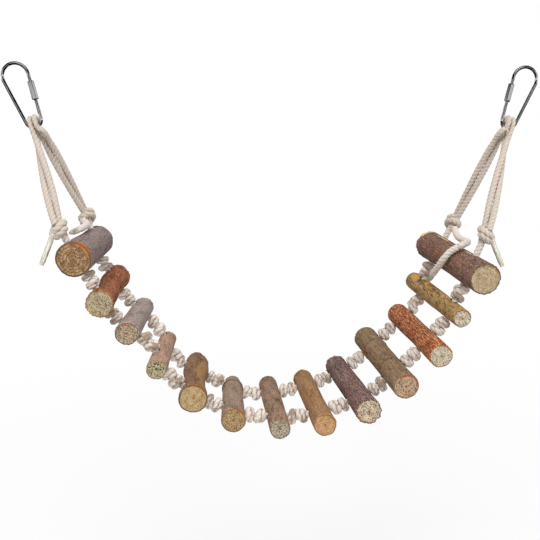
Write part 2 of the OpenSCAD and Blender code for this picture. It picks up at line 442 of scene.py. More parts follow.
def linear(code: str) -> Colour:
    """An sRGB hex colour as linear light.

    Args:
        code: A hash sign and six hex digits.

    Returns:
        Linear red, green and blue, with alpha 1.
    """
    c = np.array([int(code[k : k + 2], 16) / 255 for k in (1, 3, 5)])
    c = np.where(c <= 0.04045, c / 12.92, ((c + 0.055) / 1.055) ** 2.4)
    return (*map(float, c), 1.0)


def add(
    tree: Tree,
    kind: str,
    inputs: dict | None = None,
    out: int | str = 0,
    **settings: object,
) -> Socket | None:
    """Adds a node with its settings and links.

    Args:
        tree: The node tree.
        kind: The node's type name without its ShaderNode prefix.
        inputs: Its inputs by name or index: a socket to link from, or a value.
        out: The output that is wanted, by name or index.
        **settings: Properties to set on the node.

    Returns:
        The wanted output, or None for a node without outputs.
    """
    node = tree.nodes.new("ShaderNode" + kind)
    for name, value in settings.items():
        setattr(node, name, value)
    for name, value in (inputs or {}).items():
        if isinstance(value, Socket):
            tree.links.new(value, node.inputs[name])
        else:
            node.inputs[name].default_value = value
    return node.outputs[out] if len(node.outputs) else None


def new_material(name: str) -> tuple[Material, Tree]:
    """An empty node material.

    Args:
        name: The material's name.

    Returns:
        The material and its node tree.
    """
    material = bpy.data.materials.new(name)
    material.use_nodes = True
    material.node_tree.nodes.clear()
    return material, material.node_tree


def lumps(
    tree: Tree,
    point: Socket,
    size: float,
    detail: float,
    rough: float = 0.62,
    squeeze: Vector = (1.0, 1.0, 1.0),
) -> Socket:
    """A cloudy pattern: noise on coordinates that are first multiplied axis by axis.

    Args:
        tree: The node tree.
        point: The coordinates.
        size: Size of the lumps in the coordinates' own unit.
        detail: Octaves of finer lumps.
        rough: Strength of each octave beside the last.
        squeeze: Factors for the axes. One below 1 draws the lumps out along its axis.

    Returns:
        The pattern's value, about 0.5 in the mean.
    """
    point = add(tree, "VectorMath", {0: point, 1: squeeze}, operation="MULTIPLY")
    inputs = {"Vector": point, "Scale": 1 / size, "Detail": detail, "Roughness": rough}
    return add(tree, "TexNoise", inputs)


def hairlines(tree: Tree, pattern: Socket, width: float) -> Socket:
    """Thin lines where a pattern passes its middle: a smooth fall of |pattern - 0.5| to a width.

    Args:
        tree: The node tree.
        pattern: The cloudy pattern.
        width: The distance from the middle at which a line ends.

    Returns:
        A value of 1 on the lines and 0 between them.
    """
    away = add(tree, "Math", {0: pattern, 1: 0.5}, operation="SUBTRACT")
    away = add(tree, "Math", {0: away}, operation="ABSOLUTE")
    return add(tree, "MapRange", {0: away, 1: width, 2: 0.0}, **SMOOTH)


def laid_over(
    tree: Tree,
    under: Socket | Colour,
    colour: Socket | str,
    pattern: Socket,
    limits: Pair | None = None,
    strength: Socket | float = 1.0,
) -> Socket:
    """A colour laid over another one where a pattern is strong.

    Its share rises smoothly from 0 at the pattern's first limit to the strength at the second.

    Args:
        tree: The node tree.
        under: The colour below.
        colour: The colour above, from a socket or as a hex value.
        pattern: The value that places it.
        limits: Where its share starts and is full, or None if the pattern itself is the share.
        strength: The greatest share.

    Returns:
        The blended colour.
    """
    above = linear(colour) if isinstance(colour, str) else colour
    share = pattern
    if limits is not None:
        share = add(tree, "MapRange", {0: pattern, 1: limits[0], 2: limits[1]}, **SMOOTH)
    share = add(tree, "Math", {0: share, 1: strength}, operation="MULTIPLY")
    return add(tree, "Mix", {0: share, 6: under, 7: above}, 2, data_type="RGBA")


def surface(
    tree: Tree,
    inputs: dict,
    height: Socket | None = None,
    strength: float = 0.5,
    deep_mm: float = 0.3,
) -> None:
    """Ends a material: its shader, with fine relief if it has any, goes to the output.

    Args:
        tree: The node tree.
        inputs: The shader's inputs by name.
        height: The relief's height, or None for a plain surface.
        strength: The relief's strength.
        deep_mm: The relief's depth in millimetres.
    """
    if height is not None:
        relief = {"Strength": strength, "Distance": deep_mm * MM, "Height": height}
        inputs = inputs | {"Normal": add(tree, "Bump", relief)}
    add(tree, "OutputMaterial", {0: add(tree, "BsdfPrincipled", inputs)})


@dataclass(frozen=True)
class CottonRope:
    """Raw cotton, three strands laid up of soft yarns: matt, cream, painted tan shade where strands
    meet.

    Attributes:
        name: The material's name.
        crest: Colour of the strands' tops on clean rope.
        shade: Painted shade in the grooves on clean rope.
        grey: Colour of the tops on handled rope.
        grey_shade: Painted shade in the grooves on handled rope.
        crease: Painted shade where two stretches of the rope touch.
        yarns_round: Yarns round the rope.
        yarn_pitch_mm: Length along which a yarn goes once round its strand.
        mottle_mm: Size of the uneven areas.
        fuzz_mm: Size of the fuzz.
    """

    name: str = "raw_cotton_rope"
    crest: str = "#cbbfb2"
    shade: str = "#a98f77"
    grey: str = "#c0b4aa"
    grey_shade: str = "#96847a"
    crease: str = "#846a55"
    yarns_round: int = 18
    yarn_pitch_mm: float = 9.0
    mottle_mm: float = 4.0
    fuzz_mm: float = 0.6

    def build(self) -> Material:
        """The rope's material: yarn stripes from its UV map, painted shade in the strand grooves from
        its own values.

        Returns:
            The material.
        """
        material, tree = new_material(self.name)
        share, down = add(tree, "SeparateXYZ", {0: add(tree, "UVMap", uv_map="UVMap")}).node.outputs[:2]
        round_ = 2 * np.pi * self.yarns_round
        lay = add(tree, "Math", {0: down, 1: -round_ / 3 / self.yarn_pitch_mm}, operation="MULTIPLY")
        stripe = add(tree, "Math", {0: share, 1: round_, 2: lay}, operation="MULTIPLY_ADD")
        yarn = add(tree, "Math", {0: stripe}, operation="SINE")
        point = add(tree, "TexCoord", None, "Object")
        mottle = lumps(tree, point, self.mottle_mm * MM, 4.0)
        fuzz = lumps(tree, point, self.fuzz_mm * MM, 3.0)
        # The last value is where the rope touches itself, which places painted shade.
        groove, tone, contact_shade_share = (
            add(tree, "Attribute", None, "Fac", attribute_name=label)
            for label in ("groove", "tone", "crease")
        )
        top = laid_over(tree, linear(self.crest), self.grey, tone)
        # Painted shade: the groove colours of clean and handled rope.
        deep = laid_over(tree, linear(self.shade), self.grey_shade, tone)
        # Painted shade in the strand grooves, uneven by the mottle.
        colour = laid_over(tree, top, deep, mottle, (0.15, 0.6), groove)
        colour = laid_over(tree, colour, deep, fuzz, (0.5, 0.75), 0.3)
        # Painted shade where two stretches of the rope touch.
        colour = laid_over(tree, colour, self.crease, fuzz, (0.1, 0.6), contact_shade_share)
        height = add(tree, "Math", {0: yarn, 1: 0.3, 2: fuzz}, operation="MULTIPLY_ADD")
        matt = {"Base Color": colour, "Roughness": 0.92, "Specular IOR Level": 0.2}
        surface(tree, matt | {"Sheen Weight": 0.2, "Sheen Roughness": 0.6}, height, 0.6, 0.35)
        return material


@dataclass(frozen=True)
class PlatedWire:
    """Bright plated steel wire: a clear mirror, a little duller where it has been handled.

    Attributes:
        name: The material's name.
        colour: Colour of the mirror.
        roughness: Mean roughness.
        cloud_mm: Size of the duller areas.
        spread: Change of the roughness, as a share of its mean.
    """

    name: str = "bright_plated_wire"
    colour: str = "#d6d8da"
    roughness: float = 0.045
    cloud_mm: float = 3.0
    spread: float = 0.3

    def build(self) -> Material:
        """The metal's material, its roughness uneven by a soft pattern.

        Returns:
            The material.
        """
        material, tree = new_material(self.name)
        cloud = lumps(tree, add(tree, "TexCoord", None, "Object"), self.cloud_mm * MM, 2.0)
        low, high = self.roughness * (1 - self.spread), self.roughness * (1 + self.spread)
        rough = add(tree, "MapRange", {0: cloud, 3: low, 4: high})
        surface(tree, {"Base Color": linear(self.colour), "Metallic": 1.0, "Roughness": rough})
        return material


@dataclass(frozen=True)
class ClearTape:
    """Clear adhesive tape: thin, glossy and crinkled, a little yellow-green where it is wound double.

    Attributes:
        name: The material's name.
        colour: Colour of the double areas.
        glint: Painted highlight, pale streaks along the crinkles.
        alpha: Share of the surface that isn't clear.
        streak: Width of the streaks as a share of the tape's radius.
        streak_mm: Their length along the tail beside that width.
    """

    name: str = "clear_adhesive_tape"
    colour: str = "#a39b7c"
    glint: str = "#faf7ea"
    alpha: float = 0.7
    streak: float = 0.7
    streak_mm: float = 14.0

    def build(self) -> Material:
        """The tape's material, with painted highlight streaks along its crinkles.

        Returns:
            The material.
        """
        material, tree = new_material(self.name)
        point = add(tree, "Attribute", None, "Vector", attribute_name="film")
        crinkle = lumps(tree, point, self.streak, 2.0, squeeze=(1.0, 1.0, 1 / self.streak_mm))
        # Painted highlight: pale streaks along the crinkles.
        tint = laid_over(tree, linear(self.colour), self.glint, crinkle, (0.35, 0.65))
        surface(tree, {"Base Color": tint, "Roughness": 0.14, "Alpha": self.alpha}, crinkle)
        return material


@dataclass(frozen=True)
class Bark:
    """Dry branch bark: matt, blotched, with fibres or flakes along it, fine cracks and dark nicks.

    Attributes:
        base: Main colour.
        dark: Colour of the blotches.
        pale: Colour of fibres and flakes.
        tint: Second hue in wide areas.
        patch: Colour where the outer bark is gone, and of the pores.
        fibre_mm: Length of the fibres.
        blotch_mm: Size of the blotches.
        mottled: Strength of the blotches, 0 for faint ones.
        cracks: Strength of the dark cracks along the branch.
        lines: Strength of the fine lines across it.
        flakes: Strength of the pale flakes.
        dots: Strength of the pale breathing pores.
        roughness: Roughness of the surface.
        crack: Colour of the cracks.
        seam: Colour of the lines across.
        nick: Colour of nicks and hollows.
    """

    base: str
    dark: str
    pale: str
    tint: str
    patch: str
    fibre_mm: float = 14.0
    blotch_mm: float = 6.0
    mottled: float = 0.0
    cracks: float = 0.7
    lines: float = 0.2
    flakes: float = 0.0
    dots: float = 0.0
    roughness: float = 0.74
    crack: str = "#33271f"
    seam: str = "#3d3029"
    nick: str = "#2b211b"

    def build(self, name: str) -> Material:
        """The bark's material from the branch's own coordinates in millimetres and its marks.

        Args:
            name: The material's name.

        Returns:
            The material.
        """
        material, tree = new_material(name)
        point = add(tree, "Attribute", None, "Vector", attribute_name="grain")
        patch, scar = (
            add(tree, "Attribute", None, "Fac", attribute_name=label) for label in ("patch", "scar")
        )
        drawn = (1.0, 1 / self.fibre_mm, 1.0)
        blotch = lumps(tree, point, self.blotch_mm, 6.0, 0.72, (1.0, 0.3, 1.0))
        wide = lumps(tree, point, self.blotch_mm, 3.0, squeeze=(0.7, 0.15, 0.7))
        fibre = lumps(tree, point, 0.8, 4.0, squeeze=drawn)
        fine = lumps(tree, point, 0.7, 3.0, 0.7)
        speck = lumps(tree, point, 0.9, 3.0, 0.75, (1.0, 0.35, 1.0))
        limits = (0.22 + 0.16 * self.mottled, 0.56 + 0.02 * self.mottled)
        colour = laid_over(tree, linear(self.dark), self.base, blotch, limits)
        colour = laid_over(tree, colour, self.tint, wide, (0.45, 0.7))
        colour = laid_over(tree, colour, self.pale, fibre, (0.5, 0.72), 0.75)
        if self.dots:
            # Pores are drawn about 0.9 mm wide, twice the real size, so that they can be seen.
            spots = add(tree, "VectorMath", {0: point, 1: (1.0, 0.8, 1.0)}, operation="MULTIPLY")
            spots = add(tree, "TexVoronoi", {"Vector": spots, "Scale": 0.4}, "Distance")
            colour = laid_over(tree, colour, self.patch, spots, (0.23, 0.13), self.dots)
        if self.flakes:
            flake = lumps(tree, point, 1.1, 6.0, 0.75, (1.0, 0.13, 1.0))
            colour = laid_over(tree, colour, self.pale, flake, (0.55, 0.59), self.flakes)
        rift = hairlines(tree, lumps(tree, point, 1.5, 3.0, squeeze=drawn), 0.035)
        dry = add(tree, "MapRange", {0: blotch, 1: 0.65, 2: 0.4}, **SMOOTH)
        rift = add(tree, "Math", {0: rift, 1: dry}, operation="MULTIPLY")
        across = hairlines(tree, lumps(tree, point, 2.4, 3.0, squeeze=(0.15, 0.5, 0.15)), 0.022)
        colour = laid_over(tree, colour, self.crack, rift, strength=self.cracks)
        colour = laid_over(tree, colour, self.seam, across, strength=self.lines)
        colour = laid_over(tree, colour, self.dark, speck, (0.52, 0.63), 0.75)
        colour = laid_over(tree, colour, self.pale, speck, (0.47, 0.35), 0.75)
        bare = add(tree, "Math", {0: blotch, 1: 1.6, 2: patch}, operation="MULTIPLY_ADD")
        colour = laid_over(tree, colour, self.patch, bare, (1.1, 1.3))
        nicked = add(tree, "Math", {0: fine, 1: 0.7, 2: scar}, operation="MULTIPLY_ADD")
        colour = laid_over(tree, colour, self.nick, nicked, (0.75, 1.1))
        height = add(tree, "Math", {0: rift, 1: -0.5, 2: fine}, operation="MULTIPLY_ADD")
        height = add(tree, "Math", {0: fibre, 1: 0.8, 2: height}, operation="MULTIPLY_ADD")
        matt = {"Roughness": self.roughness, "Specular IOR Level": 0.3}
        surface(tree, {"Base Color": colour} | matt, height, 0.7, 0.4)
        return material


@dataclass(frozen=True)
class EndGrain:
    """Sawn branch end: faint growth rings, dark open pores, inner bark in places and a dark rim.

    Attributes:
        wood: Main colour.
        ring: Colour of the growth rings and of darker areas.
        pore: Colour of the pores.
        inner: Colour of the inner bark, shown along part of the rim.
        rim: Colour of the outer edge.
        pith: Colour of the middle.
        ring_mm: Distance between growth rings.
        pores: Strength of the pores.
        rings: Strength of the rings.
        inner_from: Degrees round the branch, 90 on top, about which the inner bark shows most.
        coarse: Size of the pores beside the usual.
        fleck: Colour of the pale flecks between the pores.
        wobble: Unevenness of the rings, in millimetres.
    """

    wood: str
    ring: str
    pore: str
    inner: str
    rim: str
    pith: str
    ring_mm: float = 1.8
    pores: float = 0.7
    rings: float = 0.35
    inner_from: float = 60.0
    coarse: float = 1.0
    fleck: str = "#dccdb2"
    wobble: float = 2.6

    def build(self, name: str) -> Material:
        """The sawn face's material from the branch's own coordinates and its share of the radius.

        Args:
            name: The material's name.

        Returns:
            The material.
        """
        material, tree = new_material(name)
        point = add(tree, "Attribute", None, "Vector", attribute_name="grain")
        edge = add(tree, "Attribute", None, "Fac", attribute_name="rim")
        flat = add(tree, "VectorMath", {0: point, 1: (1.0, 0.15, 1.0)}, operation="MULTIPLY")
        radial = add(tree, "VectorMath", {0: point, 1: (1.0, 0.0, 1.0)}, operation="MULTIPLY")
        distance = add(tree, "VectorMath", {0: radial}, "Value", operation="LENGTH")
        cloud = lumps(tree, flat, 3.5, 4.0)
        fine = lumps(tree, flat, 0.6, 3.0, 0.7)
        saw = lumps(tree, flat, 0.9, 3.0, squeeze=(0.25, 1.0, 1.6))
        waves = add(tree, "Math", {0: cloud, 1: self.wobble, 2: distance}, operation="MULTIPLY_ADD")
        waves = add(tree, "Math", {0: waves, 1: 2 * np.pi / self.ring_mm}, operation="MULTIPLY")
        waves = add(tree, "Math", {0: waves}, operation="SINE")
        colour = laid_over(tree, linear(self.wood), self.ring, cloud, (0.62, 0.35))
        colour = laid_over(tree, colour, self.ring, saw, (0.5, 0.8), 0.4)
        colour = laid_over(tree, colour, self.ring, waves, (0.2, 1.0), self.rings)
        colour = laid_over(tree, colour, self.fleck, fine, (0.52, 0.66), 0.55)
        # Pores are drawn about 0.8 mm wide, some three times the real size, so that they can be seen.
        cells = add(tree, "TexVoronoi", {"Vector": flat, "Scale": 0.95 / self.coarse}, "Distance")
        cells = add(tree, "Math", {0: fine, 1: 0.35, 2: cells}, operation="MULTIPLY_ADD")
        dots = add(tree, "MapRange", {0: cells, 1: 0.62, 2: 0.46}, **SMOOTH)
        dots = add(tree, "Math", {0: dots, 1: self.pores}, operation="MULTIPLY")
        colour = laid_over(tree, colour, self.pore, dots)
        middle = add(tree, "Math", {0: fine, 1: 0.9, 2: distance}, operation="MULTIPLY_ADD")
        colour = laid_over(tree, colour, self.pith, middle, (2.0, 0.9))
        turn = np.radians(self.inner_from)
        outward = add(tree, "VectorMath", {0: radial}, operation="NORMALIZE")
        toward = {0: outward, 1: (float(np.cos(turn)), 0.0, float(np.sin(turn)))}
        facing = add(tree, "VectorMath", toward, "Value", operation="DOT_PRODUCT")
        shown = add(tree, "Math", {0: cloud, 1: 1.6, 2: facing}, operation="MULTIPLY_ADD")
        shown = add(tree, "MapRange", {0: shown, 1: 1.2, 2: 1.7}, **SMOOTH)
        ragged = add(tree, "Math", {0: fine, 1: 0.12, 2: edge}, operation="MULTIPLY_ADD")
        thick = add(tree, "Math", {0: cloud, 1: 0.3, 2: ragged}, operation="MULTIPLY_ADD")
        colour = laid_over(tree, colour, self.inner, thick, (1.06, 1.12), shown)
        colour = laid_over(tree, colour, self.rim, ragged, (0.985, 1.05))
        height = add(tree, "Math", {0: dots, 1: -1.0, 2: fine}, operation="MULTIPLY_ADD")
        matt = {"Roughness": 0.85, "Specular IOR Level": 0.25}
        surface(tree, {"Base Color": colour} | matt, height)
        return material


# The ladder's own sizes


@dataclass(frozen=True)
class Mark:
    """One mark on a branch.

    Attributes:
        kind: What it does.
        at: Millimetres along from the middle between the ropes, towards the back.
        angle: Degrees round the branch, 0 to the right and 90 on top.
        long: Half length along the branch.
        wide: Half width round it, in millimetres.
        deep: Height or depth in millimetres, or strength of a colour.
    """

    kind: MarkKind
    at: float
    angle: float = 0.0
    long: float = 2.0
    wide: float = 2.0
    deep: float = 0.5


@dataclass(frozen=True)
class Branch:
    """One perch: its sizes, as in the part, and its looks.

    Attributes:
        number: Its place in the ladder, 1 at the left.
        diameter: Its diameter at the front.
        front: Length past the front rope.
        back: Length past the back rope.
        shares: Its diameter at five even steps from front to back, beside the first.
        bark: The bark's finish.
        grain: The sawn ends' finish.
        marks: Marks on the bark.
        uneven: Height of the broad bumps.
        fibres: Height of the fibres.
        ragged: Height of the torn rim.
    """

    number: int
    diameter: float
    front: float
    back: float
    shares: tuple[float, ...]
    bark: Bark
    grain: EndGrain
    marks: tuple[Mark, ...] = ()
    uneven: float = 0.25
    fibres: float = 0.05
    ragged: float = 0.18

    @property
    def name(self) -> str:
        """The perch's node and body name."""
        return f"perch_{self.number:02d}"


RIDGE, CREASE, HOLLOW, NUB, PATCH, DARK, SPLIT = MarkKind
BRANCHES: tuple[Branch, ...] = (
    Branch(
        1, 25.5, 10, 11, (1.00, 0.98, 0.96, 0.95, 0.94),
        Bark("#91807b", "#6a5c58", "#a99a97", "#8d7167", "#b5682a", lines=0.5),
        EndGrain("#b4926c", "#7c5d3f", "#4a3a25", "#b9651f", "#463c2c", "#7d5c3a", ring_mm=2.3,
                 rings=1.0, pores=0.85, inner_from=45, fleck="#c9a982", wobble=0.6),
        (Mark(DARK, 8, 40, 0.7, 0.6, 0.8), Mark(CREASE, 24, 0, 0.8, 0, 0.15),
         Mark(PATCH, -41, 50, 2.4, 9, 0.6)),
    ),
    Branch(
        2, 19.8, 16, 17, (1.00, 0.93, 0.87, 0.97, 1.03),
        Bark("#a8623e", "#592d20", "#c2896c", "#ab6a42", "#c99a5c", mottled=0.5, cracks=1.0),
        EndGrain("#b3a488", "#958567", "#4f4830", "#c7ac62", "#8b7440", "#94704f", pores=1.0,
                 inner_from=220),
        (Mark(CREASE, 2, 0, 0.9, 0, 0.45), Mark(RIDGE, 20, 0, 3.0, 0, 0.3),
         Mark(CREASE, 27, 0, 0.7, 0, 0.3), Mark(CREASE, -17, 0, 0.7, 0, 0.25),
         Mark(PATCH, -45, 230, 5, 6, 0.7)),
        uneven=0.4, ragged=0.5,
    ),
    Branch(
        3, 17.0, 18, 17, (1.00, 1.00, 0.99, 1.00, 1.01),
        Bark("#a7988f", "#83756e", "#bdb0a8", "#9d8b83", "#a86a48"),
        EndGrain("#b09b84", "#8f7a63", "#3c2e23", "#a65a30", "#4e4236", "#8a5c42", pores=1.0,
                 inner_from=100),
        (Mark(DARK, 5, 60, 0.6, 0.5, 0.7), Mark(DARK, -14, 20, 0.5, 0.8, 0.6)),
    ),
    Branch(
        4, 14.5, 29, 12, (1.00, 1.00, 0.98, 0.97, 0.96),
        Bark("#b8967f", "#866654", "#cdb09b", "#b08b74", "#c49a6a", mottled=0.3),
        EndGrain("#aba081", "#8b8062", "#24231a", "#ab8a5a", "#7a6348", "#4d4733", pores=1.0,
                 coarse=1.2),
    ),
    Branch(
        5, 21.3, 15, 20, (1.00, 0.83, 0.79, 1.00, 0.92),
        Bark("#8f6f5b", "#553d2d", "#ab8462", "#9a7550", "#9f7850"),
        EndGrain("#b9a178", "#9b7f54", "#73552f", "#94602c", "#503a26", "#947244", pores=0.55),
        # Painted light on perch 5: the wide patch on its upper right flank is a painted lit side, the
        # dark mark low on its left flank a painted shaded side.
        (Mark(PATCH, -8, 28, 42, 10, 0.75), Mark(NUB, -39, 212, 7, 8, 1.7),
         Mark(NUB, 40, 120, 7, 6, 0.9), Mark(DARK, -40, 190, 14, 6, 0.35)),
        uneven=0.5,
    ),
    Branch(
        6, 18.2, 25, 10, (1.00, 0.95, 0.92, 0.93, 0.96),
        Bark("#a68c78", "#7d6655", "#b79f8d", "#9c7d68", "#a8773f"),
        EndGrain("#b09166", "#8d6f47", "#544024", "#b5692a", "#5b4830", "#80623a", pores=0.95),
        (Mark(RIDGE, 24, 0, 1.4, 0, 0.9), Mark(CREASE, 43, 0, 14, 0, 1.8)),
    ),
    Branch(
        7, 15.4, 28, 24, (1.00, 1.00, 1.02, 1.04, 1.05),
        Bark("#a2816a", "#573f31", "#bda48f", "#8f6f5b", "#a58660", mottled=0.7),
        EndGrain("#b1a590", "#8f836e", "#423c2f", "#9b8460", "#6a5a49", "#6a604d", pores=1.0),
    ),
    Branch(
        8, 17.0, 28, 18, (1.00, 0.97, 0.96, 0.98, 1.00),
        Bark("#a67d58", "#805d3d", "#bb9772", "#a07048", "#c08a4e"),
        EndGrain("#c69a6c", "#a87c50", "#7d5834", "#a8652e", "#6d4c30", "#8f6540", pores=0.7),
    ),
    Branch(
        9, 19.2, 30, 14, (1.00, 0.97, 0.95, 0.96, 0.96),
        Bark("#7e625b", "#493632", "#b89e94", "#7c5850", "#a87848", fibre_mm=26.0, cracks=1.0),
        EndGrain("#cebca6", "#a8947c", "#4d3928", "#a3703e", "#64493c", "#84643f", pores=1.0,
                 inner_from=240),
        (Mark(NUB, -36, 60, 1.2, 1.0, 0.7), Mark(PATCH, -60, 250, 2.5, 7, 0.6)),
        fibres=0.16, ragged=0.55,
    ),
    Branch(
        10, 19.2, 29, 22, (1.00, 0.99, 1.02, 1.05, 1.06),
        Bark("#93795c", "#6b5640", "#a89072", "#8c6d4e", "#b06a34", fibre_mm=20.0, lines=0.4),
        EndGrain("#bb9f81", "#997b60", "#593e28", "#a3542d", "#6b4b36", "#845e3c", pores=1.0),
        (Mark(RIDGE, 20, 0, 1.1, 0, 0.45), Mark(RIDGE, -25, 0, 1.1, 0, 0.4),
         Mark(HOLLOW, 14, 185, 2.4, 1.8, 1.2), Mark(PATCH, 15, 180, 5.0, 3.4, 0.9)),
    ),
    Branch(
        11, 17.2, 33, 12, (1.00, 1.00, 1.00, 1.03, 1.05),
        Bark("#9b4520", "#6a2711", "#e0b684", "#a75228", "#c77a45", fibre_mm=14.0, flakes=0.9,
             cracks=0.9),
        EndGrain("#cbc0ab", "#aea18a", "#6d5f46", "#ad8a56", "#8a5a38", "#857350", pores=0.85),
        fibres=0.12,
    ),
    Branch(
        12, 13.7, 23, 21, (1.00, 1.04, 1.08, 1.10, 1.10),
        Bark("#b58f5a", "#55412b", "#d2b581", "#a37d45", "#c39550", blotch_mm=5.0, mottled=0.8,
             cracks=1.0),
        EndGrain("#cfc2af", "#ab9c88", "#64573f", "#8c6c3a", "#5e4c31", "#84714f", pores=0.9),
        (Mark(HOLLOW, 10, 75, 1.8, 1.6, 1.0), Mark(PATCH, 11, 100, 11, 5.0, 0.7),
         Mark(PATCH, 40, 110, 10, 5.0, 0.7), Mark(PATCH, -20, 60, 8, 3.5, 0.5)),
    ),
    Branch(
        13, 23.2, 27, 21, (1.00, 1.00, 1.00, 1.02, 1.04),
        Bark("#7d5f53", "#4f3932", "#a68470", "#85573f", "#d8ba8f", dots=0.9),
        EndGrain("#bba98b", "#998464", "#75603e", "#8a6b46", "#564434", "#a5803f", rings=0.7,
                 pores=0.55, wobble=1.0),
        (Mark(SPLIT, 27, 84, 13, 0.9, 0.6), Mark(SPLIT, -24, 82, 9, 0.8, 0.5),
         Mark(PATCH, 51, 90, 2.4, 14, 0.8)),
        ragged=0.5,
    ),
)


@dataclass(frozen=True)
class LadderShape:
    """The hanging ladder's route, with the part's own sizes in millimetres.

    Names that end in _d, _l and _w are diameters, lengths and widths, and _clear is room left free.
    The leans are the links' in degrees, left and right. A rope's bends lie between its perches and
    are given across and down. The shares say where each perch sits on its stretch of the two ropes.
    """

    rope_d: float = 5.4
    rope_spacing: float = 64.0
    knot_d: float = 10.8
    knot_clear: float = 0.4
    end_knot_d: float = 14.6
    end_knot_l: float = 13.0
    hole_clear: float = 1.0
    wire_d: float = 2.4
    link_span: float = 362.0
    link_l: float = 50.0
    upper_bow_w: float = 21.0
    lower_bow_w: float = 14.0
    right_drop: float = 45.5
    leans: Pair = (18.0, 20.0)
    front_bends: tuple[Pair, ...] = (
        (30, 110.5), (52, 153.5), (67, 182), (91.5, 202), (106.5, 232), (137, 253.5), (168, 265),
        (201, 267.5), (235, 260.5), (264.5, 246.5), (289.5, 224.5), (313, 200), (327, 175), (348, 124))
    back_bends: tuple[Pair, ...] = (
        (38, 108), (50.5, 153.5), (67.5, 182.5), (91, 207), (107.5, 238.5), (137, 256.5), (168.5, 272),
        (201, 270), (232, 262), (260, 246.5), (288.5, 220.5), (313, 197.5), (323, 167), (347, 122.5))
    shares: tuple[Pair, ...] = (
        (0.62, 0.60), (0.53, 0.48), (0.47, 0.48), (0.49, 0.47), (0.54, 0.50), (0.49, 0.50), (0.53, 0.51),
        (0.50, 0.50), (0.48, 0.50), (0.51, 0.52), (0.53, 0.50), (0.52, 0.49), (0.36, 0.36))

    @property
    def rope_r(self) -> float:
        """Half the rope's diameter."""
        return self.rope_d / 2

    def bend_at(self, k: int, side: Side) -> Array:
        """A bend of a rope: across, on its side, and down.

        Args:
            k: The bend's number, 0 at the left end knot.
            side: The rope.

        Returns:
            The point.
        """
        x, down = (self.front_bends if side is Side.FRONT else self.back_bends)[k]
        return np.array([x, side.value * self.rope_spacing / 2, -down])

    def rope_line(self, i: int, side: Side) -> Array:
        """The rope's straight stretch through perch i, from bend to bend."""
        return self.bend_at(i + 1, side) - self.bend_at(i, side)

    def rope_dir(self, i: int, side: Side) -> Array:
        """The way the rope runs through perch i, left to right."""
        return unit(self.rope_line(i, side))

    def hole_at(self, i: int, side: Side) -> Array:
        """The middle of perch i's hole for a rope, at its share of the straight stretch.

        Args:
            i: The perch's place, from 0.
            side: The rope.

        Returns:
            The point.
        """
        share = self.shares[i][0 if side is Side.FRONT else 1]
        return self.bend_at(i, side) + self.rope_line(i, side) * share

    def perch_at(self, i: int) -> Array:
        """Perch i's middle between its two holes."""
        return (self.hole_at(i, Side.FRONT) + self.hole_at(i, Side.BACK)) / 2

    def perch_axes(self, i: int) -> Array:
        """Perch i's own axes: along from hole to hole, up as near to +Z as it can be, and across.

        Args:
            i: The perch's place, from 0.

        Returns:
            Across, along to the back, and up, as rows.
        """
        y = unit(self.hole_at(i, Side.BACK) - self.hole_at(i, Side.FRONT))
        z = unit(np.array([0.0, 0.0, 1.0]) - y * y[2])
        return np.stack([np.cross(y, z), y, z])

    def bark_r(self, branch: Branch, y: Array) -> Array:
        """A branch's plain radius at a distance along it: cosine steps between its five shares.

        Args:
            branch: The branch.
            y: Distances along, from the middle between the ropes.

        Returns:
            The radius at each.
        """
        low = -self.rope_spacing / 2 - branch.front
        length = branch.front + self.rope_spacing + branch.back
        t = np.clip((np.asarray(y, float) - low) / length, 0, 1) * 4
        k = np.minimum(3, np.floor(t)).astype(int)
        s = np.array(branch.shares)
        return branch.diameter / 2 * lerp(s[k], s[k + 1], (1 - np.cos(np.pi * (t - k))) / 2)

    def knot_start(self, i: int, side: Side) -> float:
        """Distance along the rope from perch i's hole to where its knot starts.

        The knot clears the thickest bark under it, measured along the rope's slant to the perch.

        Args:
            i: The perch's place, from 0.
            side: The rope.

        Returns:
            The distance.
        """
        branch = BRANCHES[i]
        under = side.value * self.rope_spacing / 2 + np.array([-1, 0, 1]) * self.knot_d / 2
        slant = float(self.perch_axes(i)[1] @ self.rope_dir(i, side))
        top = float(np.max(self.bark_r(branch, under)))
        return top / np.sqrt(1 - slant**2) + self.knot_d / 2 * abs(slant) + self.knot_clear

    def knot_top(self, end: End, side: Side) -> Array:
        """Where an end knot meets its loop."""
        return self.bend_at(0 if end is End.LEFT else len(BRANCHES), side)

    def knot_dir(self, end: End, side: Side) -> Array:
        """The way the rope runs at an end knot, left to right."""
        return self.rope_dir(0 if end is End.LEFT else len(BRANCHES) - 1, side)

    def link_dir(self, end: End) -> Array:
        """A link's own up: +Z turned outwards by its lean."""
        lean = np.radians(self.leans[0 if end is End.LEFT else 1])
        return np.array([end.value * np.sin(lean), 0.0, np.cos(lean)])

    def link_side(self, end: End) -> Array:
        """A link's own right."""
        up = self.link_dir(end)
        return np.array([up[2], 0.0, -up[0]])

    @property
    def upper_r(self) -> float:
        """Radius of the upper bow at the wire's middle."""
        return (self.upper_bow_w - self.wire_d) / 2

    @property
    def lower_r(self) -> float:
        """Radius of the lower bow at the wire's middle."""
        return (self.lower_bow_w - self.wire_d) / 2

    @property
    def bow_gap(self) -> float:
        """Distance between the middles of the two bows."""
        return self.link_l - self.wire_d - self.upper_r - self.lower_r

    @property
    def leg_lean(self) -> float:
        """Angle of a link's leg to its middle line, in radians."""
        return float(np.arcsin((self.upper_r - self.lower_r) / self.bow_gap))

